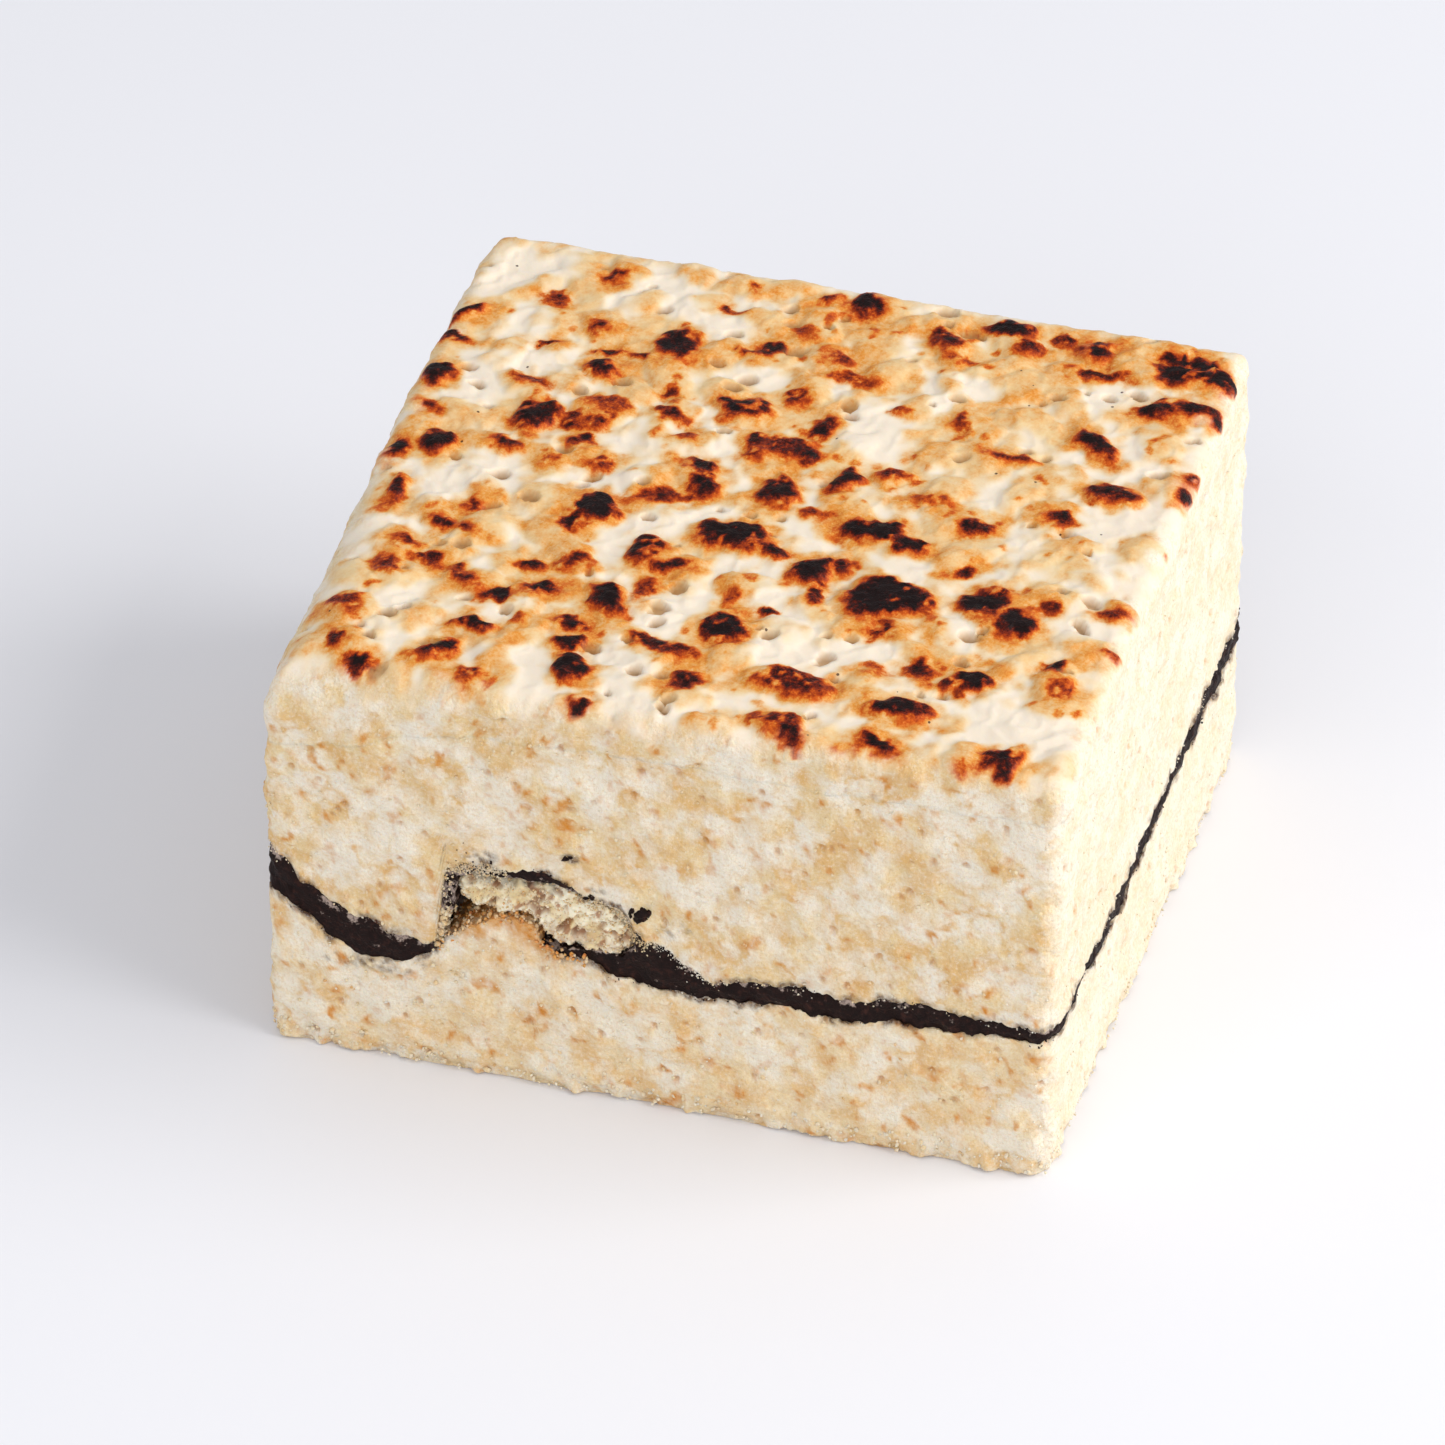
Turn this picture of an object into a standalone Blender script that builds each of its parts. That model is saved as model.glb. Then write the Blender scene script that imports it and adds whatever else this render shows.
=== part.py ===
"""Torched crisped rice square with a chocolate filling.

Two slabs of crisped rice bound with marshmallow hold a thin, wavy layer of dark chocolate. At the front the
chocolate breaks and wraps a crumbly clump, with a small gap under it. The top slab carries the raised grains
of the toasted face, and the four sides are knife cuts.

+Z is up and the front face looks along -Y. The origin is the centre of the underside of the bounding box.
Lengths are millimetres until MM turns them into Blender's metres.
"""

import math
import random

import bmesh
import bpy
from mathutils import Matrix, Vector, noise

MM = 0.001

# Outer size: the marshmallow between the grains lies at HEIGHT at the front-left corner, and higher at the others.
WIDTH = 64.0
DEPTH = 58.8
HEIGHT = 37.8

# Hand-cut corners, as steps from the true box at the base and at the top: front-left, front-right, back-right and
# back-left. The slab is thicker at its back.
BASE_CORNERS = ((-1.3, -0.9, 0.0), (-0.2, -0.5, 0.0), (0.8, -0.4, 0.0), (-0.2, 0.0, 0.0))
TOP_CORNERS = ((-0.5, -0.8, 0.0), (0.2, 0.4, 0.7), (0.5, 0.6, 2.6), (-0.8, 0.4, 2.5))

# Rounding of the edges. The top edge is worn most at the front of the left side: the wear grows from WEAR_START
# over WEAR_REACH, both as (leftwards, forwards) from the middle.
TOP_EDGE_RADIUS = 1.5
WORN_EDGE_RADIUS = 5.5
WEAR_START = (12.0, -8.0)
WEAR_REACH = (20.0, 34.0)
UPRIGHT_EDGE_RADIUS = 1.6
BASE_EDGE_LIFT = 0.9

# Play of the knife on the cut sides: how deep, and over what distance. The chocolate lies a little further in.
CUT_ROUGHNESS = 0.35
CUT_GRAIN = 3.2
CHOCOLATE_RECESS = 0.15

# Solids that touch keep this much air between them, half of it on each side.
SEAM = 0.32

# The chocolate as the front cut shows it: (x, height of its underside, height of its upper side).
FRONT_CHOCOLATE = (
    (-33.0, 15.2, 19.9),
    (-30.6, 15.0, 18.7),
    (-28.6, 13.6, 16.8),
    (-26.6, 11.4, 15.3),
    (-24.0, 10.1, 14.1),
    (-21.5, 10.1, 12.9),
    (-18.6, 11.3, 12.7),
    (-16.7, 13.6, 20.7),
    (-14.8, 15.3, 21.3),
    (-12.6, 16.4, 21.2),
    (-9.6, 16.4, 21.8),
    (-7.4, 15.4, 21.2),
    (-5.6, 13.8, 20.5),
    (-3.0, 12.6, 19.6),
    (-1.4, 12.4, 17.2),
    (0.6, 12.3, 16.0),
    (2.4, 12.1, 14.8),
    (4.4, 12.1, 13.8),
    (10.0, 12.6, 14.7),
    (15.0, 12.3, 14.3),
    (20.0, 13.1, 15.3),
    (26.0, 13.4, 14.9),
    (33.0, 13.8, 14.7),
)
INNER_CHOCOLATE = (12.2, 14.3)
CHOCOLATE_WAVE = 0.7
FRONT_REACH = 10.0

# The break in the chocolate and the clump in it, as outlines on the front face, going clockwise.
BREAK_OUTLINE = (
    (-16.3, 19.8),
    (-15.0, 20.6),
    (-12.4, 20.6),
    (-9.8, 20.9),
    (-7.6, 20.5),
    (-6.2, 20.1),
    (-5.9, 21.6),
    (-2.9, 20.6),
    (-2.2, 18.2),
    (-2.3, 15.9),
    (-3.2, 14.9),
    (-5.2, 14.6),
    (-7.6, 14.4),
    (-9.6, 15.0),
    (-13.0, 15.0),
    (-14.8, 14.2),
    (-16.7, 12.6),
    (-17.8, 11.4),
    (-18.1, 12.6),
    (-19.0, 13.0),
    (-18.4, 15.6),
    (-16.7, 16.6),
)
CLUMP_OUTLINE = (
    (-15.9, 18.6),
    (-14.9, 20.0),
    (-12.4, 20.1),
    (-9.8, 20.4),
    (-7.6, 20.0),
    (-5.6, 19.7),
    (-3.8, 19.0),
    (-2.8, 17.8),
    (-2.8, 16.6),
    (-3.6, 15.5),
    (-5.6, 15.3),
    (-6.6, 16.3),
    (-8.2, 17.6),
    (-10.4, 17.4),
    (-13.2, 17.2),
    (-15.2, 17.3),
)
BREAK_DEPTH = 6.4
CLUMP_DEPTH = 4.6
CLUMP_INSET = -0.3
CLUMP_ROUGHNESS = 0.3

# How both taper to the back: (share of the depth, scale of the outline there).
BREAK_TAPER = ((0.0, 1.0), (0.7, 1.0), (1.0, 0.7))
CLUMP_TAPER = ((0.0, 0.9), (0.15, 1.0), (0.5, 1.0), (0.85, 0.9), (1.0, 0.65))
CUTTER_OVERHANG = 4.0

# The largest grains and knots of grains on top: (x, y, length, width, turn in degrees). Their places are those on
# a level plane at SIGHT_LEVEL, seen from high in front. The toasted face stands higher than that, so a grain lies
# nearer to the viewer by SIGHT_LEAN for each millimetre.
SIGHT_LEVEL = 38.2
SIGHT_LEAN = (0.39, -1.26)
LUMPS = (
    (-31.8, 19.4, 3.2, 1.8, 50),
    (-31.6, 10.4, 2.6, 3.0, 0),
    (-28.3, 1.7, 2.8, 2.8, 0),
    (-29.3, -5.5, 1.8, 2.6, 0),
    (-13.6, 19.9, 3.8, 4.0, 0),
    (-18.8, 14.8, 3.0, 2.0, 0),
    (-17.0, 9.2, 5.0, 4.2, 30),
    (-21.7, 6.9, 3.2, 2.8, -50),
    (-5.6, 12.4, 4.8, 3.4, 0),
    (-1.8, 8.4, 7.0, 3.2, 0),
    (-6.3, 2.6, 4.6, 3.0, -40),
    (0.2, 2.2, 2.8, 3.8, 0),
    (4.7, 5.5, 2.2, 3.2, 0),
    (8.2, 6.9, 3.4, 2.4, 0),
    (10.0, -1.0, 6.6, 3.0, -12),
    (-13.4, -4.4, 3.6, 4.2, 30),
    (-1.0, -4.8, 7.6, 3.2, -8),
    (-7.0, -8.6, 3.8, 3.8, -40),
    (5.8, -7.4, 3.0, 3.2, 0),
    (12.2, -9.2, 7.0, 4.6, 8),
    (21.4, -8.6, 6.4, 4.8, -30),
    (-8.6, -15.6, 4.0, 2.9, -40),
    (1.4, -16.1, 3.2, 3.8, 0),
    (-8.5, -24.8, 2.6, 2.8, 0),
    (-19.5, -25.3, 3.8, 2.0, 45),
    (-17.6, -21.6, 3.2, 1.8, 0),
    (7.8, -21.8, 6.4, 3.2, -5),
    (17.4, -22.6, 4.8, 2.3, 0),
    (21.4, -17.8, 3.2, 2.3, 25),
    (9.0, -27.2, 4.4, 2.2, -15),
    (26.7, -26.6, 3.0, 2.6, 0),
    (27.8, -16.0, 3.0, 4.6, -10),
    (26.0, 9.7, 3.8, 2.6, 0),
    (22.7, 15.7, 4.8, 2.2, -35),
    (28.7, 27.2, 7.0, 2.8, 0),
    (28.4, 22.4, 5.6, 2.4, 8),
    (19.4, 28.4, 3.0, 3.0, 0),
    (12.6, 28.8, 5.4, 3.0, -35),
    (7.8, 26.0, 4.4, 2.4, -60),
)
LUMP_HEIGHT = 1.0

# The lower grains between them lie in staggered lines, each off its place by up to GRAIN_PLAY, turned by up to
# GRAIN_TURN, and clear of the lumps.
GRAIN_SPACING = 5.0
GRAIN_PLAY = 1.25
GRAIN_TURN = 1.2
GRAIN_LENGTH = (3.6, 5.6)
GRAIN_WIDTH = (2.3, 3.2)
GRAIN_HEIGHT = (0.35, 0.8)
GRAIN_CLEARANCE = 1.3
GRAIN_SEED = 7

# A grain's cap is wider than the grain by this much in area, blunt, and lies on a slightly wavy ground.
CAP_SPREAD = 1.25
CAP_BLUNTNESS = 0.6
GROUND_WAVE = 0.15

# Mesh: spacing of the columns and rows, finer round the break.
WIDE_STEP = 2.75
FINE_STEP = 1.9
BREAK_COLUMNS = (-20.5, 0.4)
BREAK_ROWS = 8.0
LOWER_LAYERS = 3
UPPER_LAYERS = 5


def smooth(t):
    """Eases 0 to 1, flat at both ends, and clamped."""
    t = min(1.0, max(0.0, t))
    return t * t * (3.0 - 2.0 * t)


def wavy(x, y, z, size, seed):
    """Even noise from about -1 to 1 that changes over about size millimetres."""
    return noise.noise(Vector((x / size + seed, y / size, z / size)))


def even_steps(start, end, step):
    """Positions from start up to, and without, end, about step apart."""
    count = max(1, round((end - start) / step))
    return [start + (end - start) * i / count for i in range(count)]


def columns_and_rows():
    """Where the mesh is cut along x and along y."""
    left, right = -WIDTH / 2, WIDTH / 2
    front, back = -DEPTH / 2, DEPTH / 2
    columns = even_steps(left, BREAK_COLUMNS[0], WIDE_STEP)
    columns += even_steps(*BREAK_COLUMNS, FINE_STEP)
    columns += even_steps(BREAK_COLUMNS[1], right, WIDE_STEP) + [right]
    rows = even_steps(front, front + BREAK_ROWS, FINE_STEP)
    rows += even_steps(front + BREAK_ROWS, back, WIDE_STEP) + [back]
    return columns, rows


def cut_shift(x, y, up):
    """How far the hand cut moves a point of the true box, at 0 to 1 of the height."""
    corners = [Vector(base).lerp(Vector(top), up) for base, top in zip(BASE_CORNERS, TOP_CORNERS)]
    across, along = x / WIDTH + 0.5, y / DEPTH + 0.5
    return corners[0].lerp(corners[1], across).lerp(corners[3].lerp(corners[2], across), along)


def top_level(x, y):
    """Height of the marshmallow between the grains."""
    return HEIGHT + cut_shift(x, y, 1.0).z


def scattered_grains():
    """Every grain on top, on the true rectangle: (x, y, half length, half width, turn in radians, height).

    The lumps come first, and then the lower grains between them.
    """
    draw = random.Random(GRAIN_SEED)
    grains = []
    for x, y, length, width, turn in LUMPS:
        raised = top_level(x, y) - SIGHT_LEVEL
        place = Vector((x, y)) + Vector(SIGHT_LEAN) * raised - cut_shift(x, y, 1.0).xy
        grains.append((*place, length / 2, width / 2, math.radians(turn), LUMP_HEIGHT))
    line_gap = GRAIN_SPACING * math.sqrt(3.0) / 2.0
    for row in range(int(DEPTH / line_gap) + 1):
        for column in range(int(WIDTH / GRAIN_SPACING) + 1):
            x = -WIDTH / 2 + (column + 0.5 * (row % 2)) * GRAIN_SPACING + draw.uniform(-GRAIN_PLAY, GRAIN_PLAY)
            y = -DEPTH / 2 + row * line_gap + draw.uniform(-GRAIN_PLAY, GRAIN_PLAY)
            length = draw.uniform(*GRAIN_LENGTH)
            width = draw.uniform(*GRAIN_WIDTH)
            turn = draw.uniform(-GRAIN_TURN, GRAIN_TURN)
            height = draw.uniform(*GRAIN_HEIGHT)
            lumps = grains[: len(LUMPS)]
            if all(math.hypot(x - lump[0], y - lump[1]) > lump[2] + GRAIN_CLEARANCE for lump in lumps):
                grains.append((x, y, length / 2, width / 2, turn, height))
    return grains


GRAINS = scattered_grains()


def grain_relief(x, y):
    """Height of the toasted face above the marshmallow level."""
    tallest = 0.0
    for gx, gy, half_length, half_width, turn, height in GRAINS:
        dx, dy = x - gx, y - gy
        along = (dx * math.cos(turn) + dy * math.sin(turn)) / half_length
        across = (dy * math.cos(turn) - dx * math.sin(turn)) / half_width
        inside = 1.0 - (along * along + across * across) / CAP_SPREAD
        if inside > 0.0:
            tallest = max(tallest, height * inside**CAP_BLUNTNESS)
    return tallest + GROUND_WAVE * wavy(x, y, 0.0, 4.0, 3.0)


def top_edge_radius(x, y):
    """How far the top edge is rounded: most where the front-left corner is worn."""
    toward_left = smooth((-x - WEAR_START[0]) / WEAR_REACH[0])
    toward_front = smooth((-y - WEAR_START[1]) / WEAR_REACH[1])
    return TOP_EDGE_RADIUS + (WORN_EDGE_RADIUS - TOP_EDGE_RADIUS) * toward_left * toward_front


def edge_distance(x, y):
    """Distance in from the nearest side of the plan."""
    return min(WIDTH / 2 - abs(x), DEPTH / 2 - abs(y))


def top_surface(x, y):
    """The toasted face."""
    radius = top_edge_radius(x, y)
    inward = radius - min(radius, edge_distance(x, y))
    drop = radius - math.sqrt(radius * radius - inward * inward)
    away_from_edge = smooth(0.35 + edge_distance(x, y) / 2.0)
    return top_level(x, y) - drop + grain_relief(x, y) * away_from_edge


def along_front(x, side):
    """Height of the chocolate's underside (side 1) or upper side (side 2) on the front cut."""
    for near, far in zip(FRONT_CHOCOLATE, FRONT_CHOCOLATE[1:]):
        if x <= far[0]:
            share = smooth((x - near[0]) / (far[0] - near[0]))
            return near[side] + (far[side] - near[side]) * share
    return FRONT_CHOCOLATE[-1][side]


def chocolate_level(x, y, side):
    """Height of the middle of the seam under (side 1) or over (side 2) the chocolate."""
    at_front = 1.0 - smooth((y + DEPTH / 2 - BREAK_DEPTH) / FRONT_REACH)
    wave = CHOCOLATE_WAVE * (wavy(x, y, 0.0, 9.0, 11.0) + 0.6 * wavy(x, y, side, 5.0, 29.0))
    inner = INNER_CHOCOLATE[side - 1] + wave
    return inner + (along_front(x, side) - inner) * at_front


def plan_position(x, y, z, recess=0.0):
    """Moves a point of the true rectangle onto the hand-cut plan, and roughens it where it lies on a side."""
    place = Vector((x, y)) + cut_shift(x, y, min(1.0, max(0.0, z / HEIGHT))).xy
    inset = UPRIGHT_EDGE_RADIUS
    over_x, over_y = abs(x) - (WIDTH / 2 - inset), abs(y) - (DEPTH / 2 - inset)
    if over_x > 0 and over_y > 0:
        reach = math.hypot(over_x, over_y)
        if reach > inset:
            place.x -= math.copysign(over_x * (1 - inset / reach), x)
            place.y -= math.copysign(over_y * (1 - inset / reach), y)
    outward = Vector((0.0, 0.0))
    if abs(x) > WIDTH / 2 - 0.01:
        outward.x = math.copysign(1.0, x)
    if abs(y) > DEPTH / 2 - 0.01:
        outward.y = math.copysign(1.0, y)
    if outward.length > 0:
        rough = wavy(x, y, z, CUT_GRAIN, 5.0) + 0.6 * wavy(x, y, z, CUT_GRAIN / 2, 17.0)
        place += outward.normalized() * (CUT_ROUGHNESS * rough - recess)
    return place


def cut_box(columns, rows, layers):
    """A closed box cut by the columns and rows, with its sides in layers: the mesh, and its top faces.

    A vertex's z is the number of its layer. Every box is split into the same triangles, so stacked ones fit.
    """
    mesh = bmesh.new()
    bmesh.ops.create_grid(mesh, x_segments=len(columns) - 1, y_segments=len(rows) - 1, size=1.0)
    for vertex in mesh.verts:
        column = round((vertex.co.x + 1.0) / 2.0 * (len(columns) - 1))
        row = round((vertex.co.y + 1.0) / 2.0 * (len(rows) - 1))
        vertex.co = Vector((columns[column], rows[row], 0.0))
    bmesh.ops.triangulate(mesh, faces=mesh.faces[:], quad_method="FIXED")
    top = mesh.faces[:]
    bmesh.ops.reverse_faces(mesh, faces=top)
    for layer in range(layers):
        made = bmesh.ops.extrude_face_region(mesh, geom=top, use_keep_orig=layer == 0)
        for item in made["geom"]:
            if isinstance(item, bmesh.types.BMVert):
                item.co.z = layer + 1.0
        if layer > 0:
            bmesh.ops.delete(mesh, geom=top, context="FACES")
        top = [item for item in made["geom"] if isinstance(item, bmesh.types.BMFace)]
    bmesh.ops.recalc_face_normals(mesh, faces=mesh.faces[:])
    return mesh, top


def finish(name, mesh, material):
    """Turns a bmesh in millimetres into a named object in metres."""
    bmesh.ops.scale(mesh, vec=(MM, MM, MM), verts=mesh.verts[:])
    bmesh.ops.triangulate(mesh, faces=mesh.faces[:])
    data = bpy.data.meshes.new(name)
    mesh.to_mesh(data)
    mesh.free()
    data.shade_smooth()
    data.set_sharp_from_angle(angle=math.radians(40))
    data.materials.append(material)
    made = bpy.data.objects.new(name, data)
    bpy.context.scene.collection.objects.link(made)
    return made


def food_material(name, colour, roughness):
    """A plain Principled BSDF in a linear colour."""
    material = bpy.data.materials.new(name)
    material.use_nodes = True
    shader = material.node_tree.nodes["Principled BSDF"]
    shader.inputs["Base Color"].default_value = (*colour, 1.0)
    shader.inputs["Roughness"].default_value = roughness
    shader.inputs["Metallic"].default_value = 0.0
    return material


def place_layers(mesh, layers, low, high, recess=0.0):
    """Lays each vertex of a cut box between its low and high surfaces, on the hand-cut plan."""
    for vertex in mesh.verts:
        x, y, share = vertex.co.x, vertex.co.y, vertex.co.z / layers
        bottom, top = low(x, y), high(x, y)
        z = bottom + (top - bottom) * share
        place = plan_position(x, y, z, recess)
        vertex.co = Vector((place.x, place.y, z))


def base_surface(x, y):
    """The underside: flat, with a rim that lifts unevenly where the cut edge is worn."""
    from_edge = max(0.0, BASE_EDGE_LIFT - edge_distance(x, y))
    return from_edge * (0.5 + 0.5 * wavy(x, y, 0.0, 4.0, 41.0))


def bottom_slab(material):
    """The lower slab of crisped rice, from the table up to the chocolate."""
    columns, rows = columns_and_rows()
    mesh, _ = cut_box(columns, rows, LOWER_LAYERS)
    place_layers(mesh, LOWER_LAYERS, base_surface, lambda x, y: chocolate_level(x, y, 1) - SEAM / 2)
    return finish("bottom_slab", mesh, material)


def chocolate_sheet(material):
    """The chocolate before its break is cut out."""
    columns, rows = columns_and_rows()
    mesh, _ = cut_box(columns, rows, 1)
    place_layers(
        mesh,
        1,
        lambda x, y: chocolate_level(x, y, 1) + SEAM / 2,
        lambda x, y: chocolate_level(x, y, 2) - SEAM / 2,
        CHOCOLATE_RECESS,
    )
    return finish("chocolate_layer", mesh, material)


def top_slab(material):
    """The thick upper slab, with the grains of the toasted face on its finer top."""
    columns, rows = columns_and_rows()
    mesh, top = cut_box(columns, rows, UPPER_LAYERS)
    edges = list({edge for face in top for edge in face.edges})
    bmesh.ops.subdivide_edges(mesh, edges=edges, cuts=1, use_grid_fill=True)
    place_layers(mesh, UPPER_LAYERS, lambda x, y: chocolate_level(x, y, 2) + SEAM / 2, top_surface)
    return finish("top_slab", mesh, material)


def pushed_outline(outline, start, depth, taper):
    """Pushes an outline of the front face backwards from start, tapered about the outline's middle."""
    middle_x = sum(x for x, _ in outline) / len(outline)
    middle_z = sum(z for _, z in outline) / len(outline)
    mesh = bmesh.new()
    rings = []
    for share, scale in taper:
        y = start + depth * share
        ring = [
            mesh.verts.new((middle_x + (x - middle_x) * scale, y, middle_z + (z - middle_z) * scale))
            for x, z in outline
        ]
        rings.append(ring)
    for near, far in zip(rings, rings[1:]):
        for i in range(len(outline)):
            after = (i + 1) % len(outline)
            mesh.faces.new((near[i], near[after], far[after], far[i]))
    mesh.faces.new(rings[0])
    mesh.faces.new(list(reversed(rings[-1])))
    bmesh.ops.recalc_face_normals(mesh, faces=mesh.faces[:])
    return mesh


def break_cutter(material):
    """The hollow in the chocolate, open to the front."""
    start = -DEPTH / 2 - CUTTER_OVERHANG
    mesh = pushed_outline(BREAK_OUTLINE, start, BREAK_DEPTH + CUTTER_OVERHANG, BREAK_TAPER)
    cutter = finish("break_cutter", mesh, material)
    cutter.hide_render = True
    cutter.display_type = "WIRE"
    return cutter


def filling_clump(material):
    """The crumbly clump that the broken chocolate wraps."""
    mesh = pushed_outline(CLUMP_OUTLINE, -DEPTH / 2 + CLUMP_INSET, CLUMP_DEPTH, CLUMP_TAPER)
    for vertex in mesh.verts:
        vertex.co.y += CLUMP_ROUGHNESS * wavy(*vertex.co, 2.0, 53.0)
    return finish("filling_clump", mesh, material)


def centre_on_origin(parts, cutter):
    """Moves the whole object so that the parts' bounding box stands centred on the origin."""
    points = [vertex.co for part in parts for vertex in part.data.vertices]
    low = [min(point[axis] for point in points) for axis in range(3)]
    high = [max(point[axis] for point in points) for axis in range(3)]
    shift = Vector((-(low[0] + high[0]) / 2, -(low[1] + high[1]) / 2, -low[2]))
    for moved in (*parts, cutter):
        moved.data.transform(Matrix.Translation(shift))


def build():
    for old in list(bpy.data.objects):
        bpy.data.objects.remove(old)
    rice = food_material("crisped_rice_and_marshmallow", (0.78, 0.62, 0.40), 0.6)
    toasted = food_material("toasted_rice_and_marshmallow", (0.72, 0.47, 0.22), 0.5)
    chocolate = food_material("dark_chocolate", (0.020, 0.010, 0.007), 0.45)
    crumb = food_material("pale_crumb", (0.60, 0.46, 0.28), 0.8)

    lower = bottom_slab(rice)
    sheet = chocolate_sheet(chocolate)
    upper = top_slab(toasted)
    clump = filling_clump(crumb)
    cutter = break_cutter(chocolate)

    cut = sheet.modifiers.new("break", "BOOLEAN")
    cut.operation = "DIFFERENCE"
    cut.solver = "EXACT"
    cut.object = cutter
    centre_on_origin((lower, sheet, upper, clump), cutter)


build()
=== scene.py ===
import itertools
import math
import random

import bpy
import numpy as np
from mathutils import Euler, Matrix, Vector, noise


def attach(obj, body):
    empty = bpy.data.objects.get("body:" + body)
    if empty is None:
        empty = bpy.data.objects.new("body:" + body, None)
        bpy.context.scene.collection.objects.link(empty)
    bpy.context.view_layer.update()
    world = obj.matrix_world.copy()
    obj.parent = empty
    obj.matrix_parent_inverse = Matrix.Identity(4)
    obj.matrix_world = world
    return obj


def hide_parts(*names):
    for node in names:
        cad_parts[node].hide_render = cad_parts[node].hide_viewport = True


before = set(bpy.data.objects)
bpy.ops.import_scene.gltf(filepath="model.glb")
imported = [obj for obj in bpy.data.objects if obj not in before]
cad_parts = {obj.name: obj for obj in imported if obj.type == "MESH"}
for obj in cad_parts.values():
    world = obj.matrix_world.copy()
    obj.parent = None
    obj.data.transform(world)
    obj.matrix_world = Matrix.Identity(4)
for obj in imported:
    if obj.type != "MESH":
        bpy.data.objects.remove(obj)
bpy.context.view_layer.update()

# Lengths are millimetres until MM turns them into Blender's metres.
MM = 0.001

# The square as its maker cut it: the true box, the steps from it to the hand-cut corners (front-left,
# front-right, back-right, back-left) at the base and at the top, and the step that centres the finished
# square on its box.
WIDTH = 64.0
DEPTH = 58.8
HEIGHT = 37.8
BASE_CORNERS = ((-1.3, -0.9, 0.0), (-0.2, -0.5, 0.0), (0.8, -0.4, 0.0), (-0.2, 0.0, 0.0))
TOP_CORNERS = ((-0.5, -0.8, 0.0), (0.2, 0.4, 0.7), (0.5, 0.6, 2.6), (-0.8, 0.4, 2.5))
CENTRING = (0.204, 0.143)

# Rounding of the edges, and the wear of the top edge towards the front of the left side.
TOP_EDGE_RADIUS = 1.5
WORN_EDGE_RADIUS = 5.5
WEAR_START = (12.0, -8.0)
WEAR_REACH = (20.0, 34.0)
UPRIGHT_EDGE_RADIUS = 1.6
CUT_ROUGHNESS = 0.35
CUT_GRAIN = 3.2

# The chocolate as the front cut shows it: (x, height of its underside, height of its upper side).
FRONT_CHOCOLATE = (
    (-33.0, 15.2, 19.9),
    (-30.6, 15.0, 18.7),
    (-28.6, 13.6, 16.8),
    (-26.6, 11.4, 15.3),
    (-24.0, 10.1, 14.1),
    (-21.5, 10.1, 12.9),
    (-18.6, 11.3, 12.7),
    (-17.9, 12.2, 13.1),
    (-16.8, 13.7, 20.6),
    (-14.8, 15.3, 21.3),
    (-12.6, 16.4, 21.2),
    (-10.3, 16.4, 21.7),
    (-9.0, 14.2, 21.8),
    (-8.2, 13.6, 21.6),
    (-7.2, 13.6, 21.1),
    (-5.6, 13.8, 20.5),
    (-3.0, 12.6, 19.6),
    (-1.4, 12.4, 17.2),
    (0.6, 12.3, 16.6),
    (2.4, 12.0, 15.4),
    (4.4, 12.0, 13.9),
    (10.0, 12.6, 14.7),
    (15.0, 12.3, 14.3),
    (20.0, 13.1, 15.3),
    (26.0, 13.4, 14.9),
    (33.0, 13.8, 14.7),
)
INNER_CHOCOLATE = (12.2, 14.3)
CHOCOLATE_WAVE = 0.7
FRONT_REACH = 10.0

# The break in the chocolate and the clump in it, as outlines on the front face, going clockwise.
BREAK_OUTLINE = (
    (-16.7, 19.8),
    (-15.0, 20.6),
    (-12.4, 20.6),
    (-9.8, 20.9),
    (-7.6, 20.5),
    (-6.2, 20.1),
    (-5.9, 21.6),
    (-2.9, 20.6),
    (-2.2, 18.2),
    (-2.3, 15.9),
    (-3.2, 14.9),
    (-5.2, 14.6),
    (-7.4, 14.4),
    (-8.6, 13.8),
    (-9.8, 14.4),
    (-13.0, 15.0),
    (-14.8, 14.2),
    (-16.7, 12.6),
    (-17.8, 11.4),
    (-18.1, 12.6),
    (-19.0, 13.0),
    (-18.4, 15.6),
    (-17.1, 16.6),
)
CLUMP_OUTLINE = (
    (-17.0, 18.6),
    (-16.1, 20.3),
    (-12.4, 20.3),
    (-9.8, 20.6),
    (-7.6, 20.2),
    (-5.6, 19.9),
    (-3.8, 19.2),
    (-2.6, 17.9),
    (-2.6, 16.2),
    (-3.2, 14.8),
    (-5.6, 14.6),
    (-7.4, 14.7),
    (-8.8, 15.0),
    (-9.9, 16.6),
    (-11.0, 17.3),
    (-13.2, 17.1),
    (-16.0, 17.3),
)
# Larger bits of chocolate on the front cut beside the clump: (x, height, size).
CHOCOLATE_BITS = (
    (-1.2, 19.4, 1.6),
    (-1.7, 19.7, 1.1),
    (-0.9, 18.9, 1.0),
    (-1.9, 19.0, 0.8),
    (-0.5, 19.5, 0.9),
    (-1.4, 18.7, 0.9),
    (-1.0, 19.9, 0.7),
    (-7.2, 23.6, 0.7),
    (-6.8, 23.8, 0.5),
    (-5.0, 20.3, 0.8),
    (-5.5, 20.1, 0.6),
    (-16.6, 18.0, 0.7),
    (-16.7, 17.0, 0.6),
)
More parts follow.
